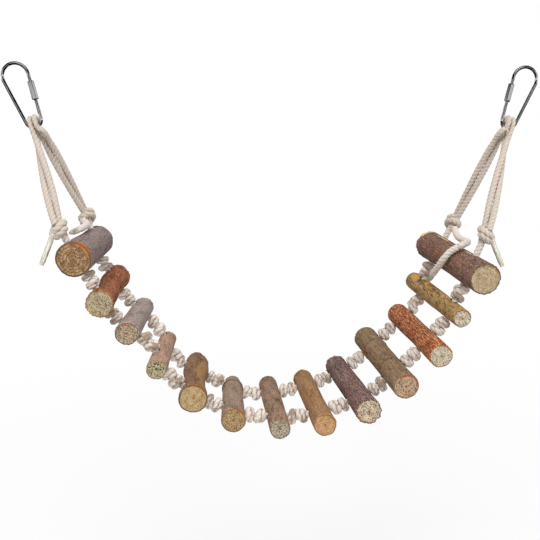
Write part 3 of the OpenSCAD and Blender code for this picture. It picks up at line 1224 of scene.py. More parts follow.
    def link_at(self, end: End) -> Array:
        """The middle of a link's lower bow.

        Args:
            end: The link.

        Returns:
            The point. The left link's upper bow bears on the origin.
        """
        eye = self.bow_gap + self.upper_r - self.wire_d / 2
        left = -self.link_dir(End.LEFT) * eye
        if end is End.LEFT:
            return left
        return np.array([self.link_span + left[0], 0.0, -self.right_drop])

    def in_link(self, end: End, points: Array) -> Array:
        """Points of a link's own plane in the part's frame.

        Args:
            end: The link.
            points: Across and up from the middle of its lower bow.

        Returns:
            The points.
        """
        p = np.asarray(points, float)
        across, up = p[..., :1] * self.link_side(end), p[..., 1:] * self.link_dir(end)
        return self.link_at(end) + across + up


SHAPE = LadderShape()


# Rope


@dataclass(frozen=True)
class RopeLay:
    """Strands laid up right-handed: the section is rounded lobes that turn along the rope.

    Attributes:
        pitch: Length of one turn of the lay.
        strands: Number of strands.
        floor: Radius of the grooves as a share of the crests'.
        sides: Points round the rope.
        sharp: Edges of the rope that turn by more degrees than this stay sharp.
    """

    pitch: float = 10.0
    strands: int = 3
    floor: float = 0.8
    sides: int = 24
    sharp: float = 80.0

    def section(self, s: Array) -> tuple[Array, Array, Array]:
        """Share of the radius round each ring, the angle round it and the depth of the grooves.

        The share is floor + (1 - floor) * cos(d * strands / 2)^0.7, with d the angle to the nearest
        strand.

        Args:
            s: Distance along at each ring.

        Returns:
            Share, angle and groove, rings by sides.
        """
        theta = angles(self.sides)[None, :]
        turn = (2 * np.pi * s / self.pitch)[:, None]
        third = 2 * np.pi / self.strands
        d = np.mod(theta - turn + third / 2, third) - third / 2
        lobe = np.maximum(np.cos(self.strands / 2 * d), 0.0) ** 0.7
        return self.floor + (1 - self.floor) * lobe, theta + 0 * turn, (1 - lobe) ** 2.4

    def tube(
        self,
        path: Array,
        wide: Array | float,
        high: Array | float,
        side: Array | None = None,
        tone: float = 0.0,
    ) -> Grid:
        """A rope along a path.

        Args:
            path: Points of its middle line.
            wide: Half width at each point, along the side vector.
            high: Half height at each point.
            side: A vector to lay the width along, or None for a frame carried along the path.
            tone: Share of grey in its colour.

        Returns:
            The rope's surface.
        """
        s = along(path)
        share, theta, groove = self.section(s)
        u, v = carried_frames(path) if side is None else square_frames(path, side)
        a = (np.cos(theta) * share * np.broadcast_to(wide, s.shape)[:, None])[..., None]
        b = (np.sin(theta) * share * np.broadcast_to(high, s.shape)[:, None])[..., None]
        points = path[:, None, :] + a * u[:, None, :] + b * v[:, None, :]
        half = np.broadcast_to((np.asarray(wide) + np.asarray(high)) / 2, s.shape)
        tones = np.full(groove.shape, tone)
        # The groove and contact values place the rope's painted shade.
        marks = {"groove": groove, "tone": tones, "crease": crevice(points, path, half)}
        return Grid(points, marks=marks, v=s)


LAY = RopeLay()


@dataclass(frozen=True)
class KnotForm:
    """A knot pulled tight: the rope rises off its line, laps round itself in slanting turns and sinks
    back.

    Attributes:
        turns: Laps round the line.
        rise: Turns over which it leaves its line and comes back to it.
        slant: Sway along the line in each turn, as a share of the lap's radius.
        spread: Share of the knot's length that the laps fill.
        folded: True if the rope first runs through the middle, then laps back and forth over itself.
        points: Points of the lapped stretch.
        inset: How far the laps keep from the knot's ends, in half sizes of the rope.
        least: Least share of the half length for the laps, and the share at which a fold starts.
    """

    turns: float
    rise: float
    slant: float
    spread: float
    folded: bool = False
    points: int = 29
    inset: float = 0.75
    least: float = 0.2

    def path(
        self,
        start: Array,
        end: Array,
        radius: float,
        rope_r: float,
        roll: float,
        hand: float,
    ) -> Array:
        """Points of the knot's middle line.

        The line winds round the axis at a steady rate. Its distance from the axis grows over the
        first share of a turn and falls over the last. Along the axis it climbs, or sinks and climbs
        again if it is folded, and sways once a turn, held within the knot's length.

        Args:
            start: Where it leaves its line.
            end: Where it comes back to it.
            radius: The knot's outer radius.
            rope_r: Half the rope's size in the knot.
            roll: Angle of the knot round its line, in radians.
            hand: 1 or -1 for the way that it laps.

        Returns:
            The points, from start to end.
        """
        axis = unit(end - start)
        a = unit(np.cross(axis, DEPTH))
        b = np.cross(axis, a)
        t = np.linspace(0, self.turns, self.points)
        out = (radius - rope_r) * smooth_step(np.minimum(t, self.turns - t) / self.rise)
        half = np.linalg.norm(end - start) / 2
        room = max(half - self.inset * rope_r, self.least * half)
        climb = 2 * t / self.turns - 1
        climb = self.spread * room * (2 * np.abs(climb) - 1 if self.folded else climb)
        climb = np.clip(climb + self.slant * out * np.cos(2 * np.pi * t - 2 * roll * hand), -room, room)
        climb[0] = self.least * room if self.folded else -half
        climb[-1] = half
        turn = (2 * np.pi * t * hand + roll)[:, None]
        round_ = out[:, None] * (a * np.cos(turn) + b * np.sin(turn))
        laps = (start + end) / 2 + axis * climb[:, None] + round_
        return np.concatenate([start[None], laps]) if self.folded else laps


END_KNOT = KnotForm(turns=1.9, rise=0.2, slant=0.5, spread=0.75)
PERCH_KNOT = KnotForm(turns=2.0, rise=0.16, slant=0.3, spread=0.95, folded=True)


@dataclass
class RopeRun:
    """One of the two ropes from end knot to end knot, with its knots on both sides of every perch.

    Attributes:
        side: Which of the two it is.
        cotton: Its material.
        knot_rope_r: Least and greatest half size of the rope in a knot.
        knot_share: The rope's half size in a knot as a share of the knot's length.
        knot_size: Least and greatest size of a knot beside the part's.
        hole_rope_r: Half size of the rope between its knots.
        knot_gap: Half the gap between the knots of two neighbouring perches.
        bark_gap: Gap between a knot and its perch beyond the part's.
        sunk: How far the straight stretch in a hole stops short of the knots.
        step: Step along the rope.
        grey_x: Where the handled grey starts and how long it takes to be full, across the ladder.
        grey: Share of grey at the left, and what is added to it at the right.
    """

    side: Side
    cotton: Material
    knot_rope_r: Pair = (2.2, 2.7)
    knot_share: float = 0.38
    knot_size: Pair = (1.06, 1.18)
    hole_rope_r: float = 2.65
    knot_gap: float = 0.1
    bark_gap: float = 0.3
    sunk: float = 1.5
    step: float = 0.6
    grey_x: Pair = (170.0, 120.0)
    grey: Pair = (0.25, 0.75)

    def tone(self, x: Array) -> Array:
        """Share of grey along the ladder: the right half of the ropes is handled and greyer."""
        return self.grey[0] + self.grey[1] * smooth_step((x - self.grey_x[0]) / self.grey_x[1])

    def route(self) -> tuple[Array, Array]:
        """The rope's middle line with all its knots, and its half size along it.

        Returns:
            Points and half sizes.
        """
        draw = np.random.default_rng(11 if self.side is Side.FRONT else 12)
        rows: list[Array] = []
        last = len(BRANCHES) - 1
        for i in range(len(BRANCHES)):
            hole, way = SHAPE.hole_at(i, self.side), SHAPE.rope_dir(i, self.side)
            low, high = SHAPE.bend_at(i, self.side), SHAPE.bend_at(i + 1, self.side)
            start = SHAPE.knot_start(i, self.side) + self.bark_gap
            roll = draw.uniform(0, 2 * np.pi, 2)
            size = draw.uniform(*self.knot_size, 2) * SHAPE.knot_d / 2
            under, over = hole - way * start, hole + way * start
            inside = way * (start - self.sunk)
            if i == 0:
                rows.append(self.plain(low + way * SHAPE.end_knot_l / 2, under))
            else:
                rows.append(self.knot(low + way * self.knot_gap, under, size[0], roll[0], 1.0))
            rows.append(self.plain(hole - inside, hole + inside))
            if i == last:
                rows.append(self.plain(over, high - way * SHAPE.end_knot_l / 2))
            else:
                rows.append(self.knot(over, high - way * self.knot_gap, size[1], roll[1], -1.0))
        table = through(np.concatenate(rows), self.step)
        return table[:, :3], table[:, 3]

    def plain(self, start: Array, end: Array) -> Array:
        """A straight stretch as points with the rope's half size."""
        points = lerp(start, end, np.linspace(0, 1, 4)[:, None])
        return np.concatenate([points, np.full((4, 1), self.hole_rope_r)], 1)

    def knot(self, start: Array, end: Array, radius: float, roll: float, hand: float) -> Array:
        """A knot as points with the rope's half size, which a short knot squeezes.

        Args:
            start: Where the knot starts.
            end: Where it ends.
            radius: Its outer radius.
            roll: Its angle round the rope, in radians.
            hand: 1 or -1 for the way that it laps.

        Returns:
            Points and half size, one row each.
        """
        rope = float(np.clip(self.knot_share * np.linalg.norm(end - start), *self.knot_rope_r))
        points = PERCH_KNOT.path(start, end, radius, rope, roll, hand)
        return np.concatenate([points, np.full((len(points), 1), rope)], 1)

    def build(self) -> Piece:
        """The rope as one piece on the ropes' body.

        Returns:
            The piece.
        """
        name = self.side.name.lower() + "_rope"
        path, size = self.route()
        grid = LAY.tube(path, size, size)
        grid.marks["tone"] = self.tone(grid.points[..., 0])
        piece = place(grid.mesh(name + "_cotton"), [self.cotton], LAY.sharp)
        return seat(piece, "ropes", name)


# The free tails' points: a front tail's from the middle of its end knot, a back tail's from the
# middle of its end perch, out along the ladder, along the perch and up off the ladder
TAIL_ROWS: dict[str, tuple[Vector, ...]] = {
    "left_front": ((-3.8, -3.6, -2.5), (-6, -4.5, -9), (-9.5, -5.25, -17), (-13, -6, -25)),
    "right_front": ((3.8, -3.6, -2.5), (5, -4.5, -8), (8.25, -5.25, -16), (11.5, -6, -24)),
    "left_back": (
        (21, 26.2, 1), (18.3, 20.5, 3.5), (16.7, 12, 5), (16.4, 2, 5), (16.3, -7, 4), (16.4, -14, 2),
        (16.8, -21, 0),
    ),
    "right_back": (
        (24, 26.2, 0), (20.5, 19, 0), (18, 10, 0), (17.2, -1, 0), (17, -11, 0.5), (15.3, -18.5, 3.8),
        (11.2, -21.5, 8.5), (5, -20.5, 12.8), (-2.5, -18, 14.4), (-9.5, -12, 13.2), (-15.5, -4, 11.2),
        (-20, 3.5, 9), (-24.2, 10.5, 6.8),
    ),
}


@dataclass
class EndFitting:
    """What hangs one rope end from its link: a doubled loop, the end knot, the free tail and its tape.

    Attributes:
        end: The ladder's end.
        side: The rope.
        cotton: Material of the loop and the knot.
        tail_cotton: Material of the tail.
        tape: Material of the tape.
        squeeze_w: Half width of the loop where it turns over the wire.
        squeeze_h: Half height of the loop there.
        loop_apart: Gap between the two ropes' loops on the wire, halved.
        loop_room: Room between the wire and the loop.
        loop_step: Step along the loop.
        step: Step along the knot and the tail.
        turn_lift: How much further the loop's turn reaches over the wire than it is wide.
        knot_bite: How far the legs run into the end knot.
        leg_r: Half size of a leg.
        twists: For each rope, the degrees that its legs turn round each other, the share of the way
            at which that starts, and the power by which it grows.
        knot_rope_r: Half size of the rope in the end knot.
        knot_roll: Angle of the end knot round its rope, in radians, and its change from rope to rope.
        greys: Share of grey in the loop, the knot and the tail.
        tail_side: The vector that the tail's width lies along.
        tail_thin: How much thinner the taped stretch is on each rope.
        tail_pinch: How much the tail's end is pinched in width and in height.
        tail_fade: How far before its tape the tail starts to get thinner, and the length over which
            it does so and is pinched at its end.
        tape_lengths: Length of the tape on each rope's tail.
        tape_t: Thickness of the tape.
        tape_clear: Room between the tape and the tail.
    """

    end: End
    side: Side
    cotton: Material
    tail_cotton: Material
    tape: Material
    squeeze_w: float = 1.7
    squeeze_h: float = 3.1
    loop_apart: float = 0.25
    loop_room: float = 1.0
    loop_step: float = 0.7
    step: float = 0.6
    turn_lift: float = 0.8
    knot_bite: float = 4.0
    leg_r: float = 2.4
    twists: tuple[Vector, ...] = ((160.0, 0.1, 1.05), (180.0, 0.0, 0.58))
    knot_rope_r: float = 2.9
    knot_roll: Pair = (0.1, 1.3)
    greys: Vector = (0.1, 0.2, 0.9)
    tail_side: Vector = (0.9, 0.0, 0.45)
    tail_thin: Pair = (0.42, 0.24)
    tail_pinch: Pair = (0.12, 0.3)
    tail_fade: Pair = (4.0, 5.0)
    tape_lengths: Pair = (20.5, 12.0)
    tape_t: float = 0.3
    tape_clear: float = 0.05

    @property
    def name(self) -> str:
        """The start of this fitting's node names."""
        return f"{self.end.name.lower()}_{self.side.name.lower()}"

    @property
    def row(self) -> int:
        """The rope's place in this fitting's pairs of sizes."""
        return 0 if self.side is Side.FRONT else 1

    @property
    def inward(self) -> Array:
        """The way the rope runs from the end knot's top into the ladder."""
        return -self.end.value * SHAPE.knot_dir(self.end, self.side)

    def loop_route(self) -> tuple[Array, Array, Array]:
        """The loop's middle line up one leg, over the wire and down the other.

        The two legs close up below the wire and turn round each other on the way to the knot.

        Returns:
            Points, half widths and half heights.
        """
        apart = self.squeeze_w + self.loop_apart
        side, up = SHAPE.link_side(self.end), SHAPE.link_dir(self.end)
        wire = SHAPE.link_at(self.end) - side * self.side.value * self.end.value * apart
        wire = wire - up * np.sqrt(SHAPE.lower_r**2 - apart**2)
        foot = SHAPE.knot_top(self.end, self.side) + self.inward * self.knot_bite
        down = unit(foot - wire)
        over = unit(np.cross(side, down))
        across = np.cross(down, over)
        turn_r = SHAPE.wire_d / 2 + self.loop_room + self.squeeze_h
        t = np.linspace(0, 1, 70)[:, None] ** 1.5
        half = lerp(turn_r, self.leg_r, smooth_step(t * 6))
        full, start, bias = self.twists[self.row]
        twist = np.radians(full) * np.clip((t - start) / (1 - start), 0, 1) ** bias
        swing = half * (over * np.cos(twist) + self.end.value * across * np.sin(twist))
        middle = lerp(wire, foot, t)
        a = np.linspace(0, np.pi, 26)[1:-1, None]
        turn = wire - down * (self.turn_lift + turn_r) * np.sin(a) + over * turn_r * np.cos(a)
        path = np.concatenate([(middle + swing)[::-1], turn, middle - swing])
        wide = lerp(self.squeeze_w, self.leg_r, smooth_step(t * 5 - 0.2))[:, 0]
        high = lerp(self.squeeze_h, self.leg_r, smooth_step(t * 4))[:, 0]
        wides = np.concatenate([wide[::-1], np.full(len(a), self.squeeze_w), wide])
        highs = np.concatenate([high[::-1], np.full(len(a), self.squeeze_h), high])
        table = resample(np.column_stack([path, wides, highs]), self.loop_step)
        return table[:, :3], table[:, 3], table[:, 4]

    def tail_route(self) -> Array:
        """The tail's points as in the part, from inside the end knot to its free end.

        Returns:
            The points.
        """
        rows = np.array(TAIL_ROWS[self.name], float)
        if self.side is Side.FRONT:
            return SHAPE.knot_top(self.end, self.side) + self.inward * SHAPE.end_knot_l / 2 + rows
        i = 0 if self.end is End.LEFT else len(BRANCHES) - 1
        out = unit(SHAPE.rope_dir(i, Side.FRONT) + SHAPE.rope_dir(i, Side.BACK))
        off = np.array([-out[2], 0.0, out[0]])
        return SHAPE.perch_at(i) + rows @ np.stack([self.end.value * out, DEPTH, off])

    def build(self) -> list[Piece]:
        """All the pieces of this fitting, on the ropes' body."""
        return [self.build_loop(), self.build_knot(), *self.build_tail()]

    def build_loop(self) -> Piece:
        """The doubled loop over the link's lower bow, a taut cord.

        Returns:
            The piece.
        """
        path, wide, high = self.loop_route()
        grid = LAY.tube(path, wide, high, SHAPE.link_side(self.end), self.greys[0])
        piece = place(grid.mesh(self.name + "_loop_cotton"), [self.cotton], LAY.sharp)
        seat(piece, "ropes", self.name + "_loop")
        return piece

    def build_knot(self) -> Piece:
        """The end knot: a larger overhand knot round the two legs, mirrored at the right end.

        Returns:
            The piece.
        """
        top = SHAPE.knot_top(self.end, self.side)
        low = top + self.inward * SHAPE.end_knot_l
        roll = self.knot_roll[0] + self.knot_roll[1] * self.side.value
        roll = roll if self.end is End.LEFT else np.pi - roll
        rope = self.knot_rope_r
        laps = END_KNOT.path(top, low, SHAPE.end_knot_d / 2, rope, roll, self.end.value)
        grid = LAY.tube(through(laps, self.step), rope, rope, tone=self.greys[1])
        piece = place(grid.mesh(self.name + "_knot_cotton"), [self.cotton], LAY.sharp)
        return seat(piece, "ropes", self.name + "_knot")

    def build_tail(self) -> list[Piece]:
        """The free tail, thinner and pinched flat where clear tape is wound round its end.

        Returns:
            The tail and its tape.
        """
        path = through(self.tail_route(), self.step)
        s = along(path)
        taped, (before, fade) = self.tape_lengths[self.row], self.tail_fade
        slim = self.tail_thin[self.row] * smooth_step((s - s[-1] + taped + before) / fade)
        pinch = smooth_step((s - s[-1] + fade) / fade)
        wide = SHAPE.rope_r * (1 - slim - self.tail_pinch[0] * pinch)
        high = SHAPE.rope_r * (1 - slim - self.tail_pinch[1] * pinch)
        flat = np.array(self.tail_side)
        grid = LAY.tube(path, wide, high, flat, self.greys[2])
        tail = place(grid.mesh(self.name + "_tail_cotton"), [self.tail_cotton], LAY.sharp)
        seat(tail, "ropes", self.name + "_tail")
        last = s > s[-1] - taped
        return [tail, self.build_tape(path[last], wide[last], high[last], flat)]

    def build_tape(self, path: Array, wide: Array, high: Array, flat: Array) -> Piece:
        """Tape wound round the last stretch: two coaxial skins, crinkled, joined at their ends.

        Args:
            path: The middle line of the taped stretch.
            wide: Half widths of the tail along it.
            high: Half heights of the tail along it.
            flat: The vector that the width lies along.

        Returns:
            The tape.
        """
        u, v = square_frames(path, flat)
        theta = angles(36)[None, :]
        s = along(path)[:, None]
        crinkle = 0.06 * np.sin(5 * theta + s * 1.3) + 0.05 * np.sin(9 * theta - s * 0.8)
        skins = []
        for grow in (self.tape_t + crinkle, self.tape_clear + 0 * crinkle):
            a = ((wide[:, None] + grow) * np.cos(theta))[..., None]
            b = ((high[:, None] + grow) * np.sin(theta))[..., None]
            skins.append(path[:, None] + a * u[:, None] + b * v[:, None])
        points = np.concatenate([skins[0], skins[1][::-1]])
        film = np.stack(np.broadcast_arrays(np.cos(theta), np.sin(theta), s), -1)
        film = np.concatenate([film, film[::-1]])
        grid = Grid(points, closed=True, marks={"film": film})
        piece = place(grid.mesh(self.name + "_tape_film"), [self.tape], sharp=60)
        return seat(piece, "ropes", self.name + "_tape")


# Perches


@dataclass
class Perch:
    """One drilled branch: a bark-covered round with two sawn faces and a hole for each rope.

    Attributes:
        branch: Its sizes and looks.
        sides: Points round it.
        ring_step: Distance between rings along the bark.
        face_rings: Rings on a sawn face.
        bevel: Radius of the rounded edge between bark and face.
        small: Height of the small bumps.
        torn: Length along the branch of the torn rim.
        highest: Greatest height of the bark.
        pressed: How much lower the bark is beside the ropes, and how far along.
        saw: Height of the saw's marks on the faces.
        hole_sides: Points round a hole.
        sharp: Edges that turn by more degrees than this stay sharp.
    """

    branch: Branch
    sides: int = 144
    ring_step: float = 0.6
    face_rings: int = 14
    bevel: float = 0.5
    small: float = 0.08
    torn: float = 2.2
    highest: float = 0.6
    pressed: Pair = (0.8, 8.0)
    saw: float = 0.12
    hole_sides: int = 40
    sharp: float = 50.0

    @property
    def ends(self) -> Pair:
        """Where the two sawn faces are along the branch."""
        half = SHAPE.rope_spacing / 2
        return -half - self.branch.front, half + self.branch.back

    @property
    def index(self) -> int:
        """The perch's place in the ladder, from 0."""
        return self.branch.number - 1

    @property
    def shift(self) -> Array:
        """A step along the pattern, so that no two branches share one."""
        return np.array([0.0, 173.0 * self.branch.number, 0.0])

    def profile(self) -> tuple[Array, Array, Array]:
        """The outline from the front face's middle round to the back face's middle.

        Returns:
            Distance along, inset from the bark, and share of the radius of each ring. That share is
            below 1 on the sawn faces.
        """
        low, high = self.ends
        turn = np.linspace(0, np.pi / 2, 5)
        edge_y, edge_in = self.bevel * (1 - np.cos(turn)), self.bevel * (1 - np.sin(turn))
        bark = np.linspace(low + self.bevel, high - self.bevel, int((high - low) / self.ring_step))
        share = np.linspace(0.02, 1, self.face_rings)[:-1]
        flat, edge = np.zeros(len(share)), np.ones(len(turn) - 1)
        rounded = low + edge_y[:-1], high - edge_y[::-1][1:]
        y = np.concatenate([flat + low, rounded[0], bark, rounded[1], flat + high])
        inset = np.concatenate([flat, edge_in[:-1], 0 * bark, edge_in[::-1][1:], flat])
        face = np.concatenate([share, edge, np.ones(len(bark)), edge, share[::-1]])
        return y, inset, face

    def relief(self, theta: Array, y: Array) -> tuple[Array, Array, Array]:
        """Bark height, patch and scar values round and along the branch.

        The height is broad bumps, small bumps, fibres and a torn rim, each a sum of waves, held down
        beside the holes so that the knots have room. The marks are then added: bell-shaped rings and
        spots that fall off as exp(-d^2), with d the distance from the mark in its own half sizes.

        Args:
            theta: Angle round, rings by sides.
            y: Distance along, rings by sides.

        Returns:
            Height in millimetres, patch and scar shares.
        """
        seed = 100 + self.branch.number
        r = SHAPE.bark_r(self.branch, y)
        height = self.branch.uneven * ripples(theta, y, seed, (1, 4), 45)
        height = height + self.small * ripples(theta, y, seed + 30, (4, 14), 60, 40)
        height = height + self.branch.fibres * ripples(theta, y, seed + 60, (18, 46), 80, 40)
        low, high = self.ends
        torn = np.exp(-((np.minimum(y - low, high - y) / self.torn) ** 2))
        height = height + self.branch.ragged * torn * ripples(theta, y, seed + 90, (5, 30), 6, 40)
        near = np.exp(-(((np.abs(y) - SHAPE.rope_spacing / 2) / self.pressed[1]) ** 2))
        height = np.minimum(height, self.highest) * (1 - self.pressed[0] * near)
        patch = np.zeros_like(height)
        scar = np.zeros_like(height)
        for mark in self.branch.marks:
            off = (y - mark.at) / max(mark.long, 0.1)
            turn = np.angle(np.exp(1j * (theta - np.radians(mark.angle))))
            swing = turn * r / max(mark.wide, 0.1)
            ring = np.exp(-(off**2))
            spot = np.exp(-(off**2) - swing**2)
            if mark.kind is RIDGE:
                height = height + mark.deep * ring
                beside = np.exp(-(((np.abs(off) - 1.1) / 0.6) ** 2))
                scar = scar + 0.8 * beside * (mark.long < 2)
            elif mark.kind is CREASE:
                height = height - mark.deep * ring
                scar = scar + 0.35 * ring
            elif mark.kind is HOLLOW:
                height = height - mark.deep * spot
                scar = scar + 1.2 * spot
            elif mark.kind is NUB:
                height = height + mark.deep * spot
                scar = scar + 0.6 * spot * (mark.long < 3)
            elif mark.kind is PATCH:
                patch = patch + mark.deep * np.exp(-((off**2 + swing**2) ** 1.5))
            elif mark.kind is DARK:
                scar = scar + mark.deep * spot
            else:
                line = np.exp(-(off**6) - swing**2)
                height = height - mark.deep * line
                patch = patch + 0.9 * line
        return height, patch, scar

    def grid(self) -> Grid:
        """The whole branch as one surface from the back: sawn face, edge, bark, edge and sawn face.

        Returns:
            The surface, with its own coordinates, patches, scars and share of the radius.
        """
        y1, inset, face = (values[::-1] for values in self.profile())
        y, theta = np.meshgrid(y1, angles(self.sides), indexing="ij")
        height, patch, scar = self.relief(theta, y)
        r = SHAPE.bark_r(self.branch, y) + height - inset[:, None]
        r = np.where(face[:, None] < 1, (r - self.bevel) * face[:, None], r)
        saw = self.saw * ripples(theta, r * 4, 300 + self.branch.number, (1, 3), 9)
        bump = np.where(face[:, None] < 1, saw * np.sign(y) * face[:, None], 0)
        local = np.stack([r * np.cos(theta), y + bump, r * np.sin(theta)], -1)
        points = SHAPE.perch_at(self.index) + local @ SHAPE.perch_axes(self.index)
        zone = (np.minimum(face[:-1], face[1:]) < 1).astype(int)
        rim = np.where(face[:, None] < 1, face[:, None], 1.0) + 0 * theta
        marks = {"grain": local + self.shift, "patch": patch, "scar": scar, "rim": rim}
        return Grid(points, marks=marks, zones=zone)

    def bore(self, side: Side, looks: list[Material]) -> Piece:
        """A rod as thick as a rope hole, to cut it with, dressed as the sawn wood.

        Args:
            side: The rope.
            looks: The branch's materials, bark and sawn wood.

        Returns:
            The rod.
        """
        hole, way = SHAPE.hole_at(self.index, side), SHAPE.rope_dir(self.index, side)
        t = np.linspace(-1, 1, 5)[:, None]
        path = hole + way * t * self.branch.diameter
        u, v = square_frames(path, DEPTH)
        theta = angles(self.hole_sides)[None, :, None]
        r = SHAPE.rope_r + SHAPE.hole_clear
        points = path[:, None] + r * (np.cos(theta) * u[:, None] + np.sin(theta) * v[:, None])
        local = (points - SHAPE.perch_at(self.index)) @ SHAPE.perch_axes(self.index).T
        flat = np.zeros(points.shape[:2])
        marks = {"grain": local + self.shift, "patch": flat, "scar": flat, "rim": flat + 0.5}
        grid = Grid(points, marks=marks, zones=np.ones(len(path) - 1))
        return place(grid.mesh(f"bore_{self.branch.number}_{side.name}"), looks)

    def build(self) -> Piece:
        """The drilled and dressed branch on its own body.

        Returns:
            The piece.
        """
        name = self.branch.name
        bark = f"bark_{self.branch.number:02d}"
        mesh = self.grid().mesh(name + "_blank")
        looks = [
            self.branch.bark.build(bark),
            self.branch.grain.build(f"sawn_end_{self.branch.number:02d}"),
        ]
        blank = place(mesh, looks)
        rods = [self.bore(side, looks) for side in Side]
        for rod in rods:
            cut = blank.modifiers.new("bore", "BOOLEAN")
            cut.operation = "DIFFERENCE"
            cut.solver = "MANIFOLD"
            cut.object = rod
        bpy.context.view_layer.update()
        cut_blank = blank.evaluated_get(bpy.context.evaluated_depsgraph_get())
        drilled = bpy.data.meshes.new_from_object(cut_blank)
        for spare in (blank, *rods):
            data = spare.data
            bpy.data.objects.remove(spare)
            bpy.data.meshes.remove(data)
        drilled.name = name + "_branch"
        return seat(place(drilled, [], self.sharp), name, name)


# Links


@dataclass
class Link:
    """A pear-shaped wire link with a hexagonal screw sleeve on its inner leg.

    Attributes:
        end: The ladder's end.
        wire_look: Material of the wire.
        sleeve_look: Material of the sleeve.
        sleeve_l: Length of the sleeve.
        sleeve_w: Its width across flats.
        sleeve_h: Its height up the leg.
        sleeve_edge: Chamfer of its ends.
        wire_gap: Gap in the leg that the sleeve closes.
        sleeve_grip: Length of the sleeve above the gap.
        sleeve_clear: Room between sleeve and wire.
        thread_pitch: Pitch of the screw thread.
        thread_deep: Its depth.
        thread_ends: Length of the thread above and below the gap.
    """

    end: End
    wire_look: Material
    sleeve_look: Material
    sleeve_l: float = 13.4
    sleeve_w: float = 4.4
    sleeve_h: float = 13.4
    sleeve_edge: float = 0.5
    wire_gap: float = 4.0
    sleeve_grip: float = 3.5
    sleeve_clear: float = 0.15
    thread_pitch: float = 0.6
    thread_deep: float = 0.12
    thread_ends: Pair = (7.0, 10.5)

    @property
    def name(self) -> str:
        """The link's body name."""
        return f"{self.end.name.lower()}_link"

    def leg_at(self, d: Array | float) -> Array:
        """Points of the inner leg's line in the link's plane.

        Args:
            d: Distances up from the lower bow.

        Returns:
            Across and up, one row each.
        """
        way, lean, low = -self.end.value, SHAPE.leg_lean, SHAPE.lower_r
        d = np.asarray(d, float)
        across = way * (low * np.cos(lean) + d * np.sin(lean))
        return np.stack([across, d * np.cos(lean) - low * np.sin(lean)], -1)

    def route(self) -> Array:
        """The wire's middle line from above the gap over the upper bow, down, and back up to the gap.

        Returns:
            Points in the link's plane.
        """
        way, lean = -self.end.value, SHAPE.leg_lean
        top = self.sleeve_h + self.sleeve_l - self.sleeve_grip
        leg = SHAPE.bow_gap * np.cos(lean)
        up = np.linspace(-lean, np.pi + lean, 80)
        low = np.linspace(lean, np.pi - lean, 60)
        upper = SHAPE.upper_r * np.stack([way * np.cos(up), np.sin(up)], 1) + [0.0, SHAPE.bow_gap]
        lower = -SHAPE.lower_r * np.stack([way * np.cos(low), np.sin(low)], 1)
        rise = self.leg_at(np.linspace(top, leg, 90)[:-1])
        last = self.leg_at(np.linspace(0, top - self.wire_gap, 140)[1:])
        return np.concatenate([rise, upper, lower, last])

    def build(self) -> list[Piece]:
        """The wire on the link's body and the sleeve on its own."""
        return [self.build_wire(), self.build_sleeve()]

    def build_wire(self) -> Piece:
        """Round wire with a screw thread cut in it beside the gap: its radius falls with the cosine of
        the turn and the way along.

        Returns:
            The piece.
        """
        flat = resample(self.route(), 0.15)
        path = SHAPE.in_link(self.end, flat)
        s = along(path)
        theta = angles(28)[None, :]
        u, v = square_frames(path, DEPTH)
        far = np.minimum(s, s[-1] - s)[:, None]
        length = np.where(s < s[-1] / 2, *self.thread_ends)[:, None]
        cut = smooth_step((length - far) / self.thread_pitch)
        screw = 0.5 + 0.5 * np.cos(2 * np.pi * s[:, None] / self.thread_pitch - theta)
        r = SHAPE.wire_d / 2 - self.thread_deep * cut * screw
        round_ = np.cos(theta)[..., None] * u[:, None] + np.sin(theta)[..., None] * v[:, None]
        grid = Grid(path[:, None] + r[..., None] * round_)
        piece = place(grid.mesh(self.name + "_wire"), [self.wire_look], sharp=60)
        return seat(piece, self.name, self.name)

    def build_sleeve(self) -> Piece:
        """Hexagonal sleeve with chamfered ends and its bore: one closed outline carried round the leg,
        each radius held to the hexagon's.

        Returns:
            The piece.
        """
        base = SHAPE.in_link(self.end, self.leg_at(self.sleeve_h))
        up = unit(SHAPE.in_link(self.end, self.leg_at(self.sleeve_h + 1.0)) - base)
        out = np.cross(DEPTH, up)
        theta = angles(96)
        flat = self.sleeve_w / 2
        corner = flat / np.cos(np.pi / 6)
        hexagon = np.minimum(flat / np.cos(np.mod(theta, np.pi / 3) - np.pi / 6), corner - 0.08)
        bore = SHAPE.wire_d / 2 + self.sleeve_clear
        long, edge = self.sleeve_l, self.sleeve_edge
        half = np.array([
            [0.0, bore], [0.0, corner - edge - 0.4], [0.06, corner - edge], [edge, corner],
            [edge + 0.2, corner + 1],
        ])
        other = np.stack([long - half[::-1, 0], half[::-1, 1]], 1)
        outline = np.concatenate([half, [[long / 2, corner + 1]], other, [[long / 2, bore]]])
        r = np.minimum(outline[:, 1:], hexagon[None, :])
        round_ = np.cos(theta)[:, None] * out + np.sin(theta)[:, None] * DEPTH
        points = base + outline[:, :1, None] * up + r[..., None] * round_[None]
        name = f"{self.end.name.lower()}_sleeve"
        mesh = Grid(points, closed=True).mesh(name + "_hexagon")
        return seat(place(mesh, [self.sleeve_look], sharp=25), name, name)


# Stage


@dataclass(frozen=True)
class Lamp:
    """A square soft lamp.

    Attributes:
        name: The lamp's name.
        at: Its place in metres.
        size: Its width in metres.
        watts: Its power.
    """

    name: str
    at: Vector
    size: float
    watts: float


@dataclass(frozen=True)
class Shade:
    """A dark cloth that only mirrors see, as a zone of an ellipsoid round the ladder.

    Attributes:
        name: The shade's name.
        low: Its lower edge in degrees of height.
        high: Its upper edge.
        start: Where it starts, in degrees round from the right, 90 at the back.
        stop: Where it stops.
    """

    name: str
    low: float
    high: float
    start: float = -180.0
    stop: float = 180.0


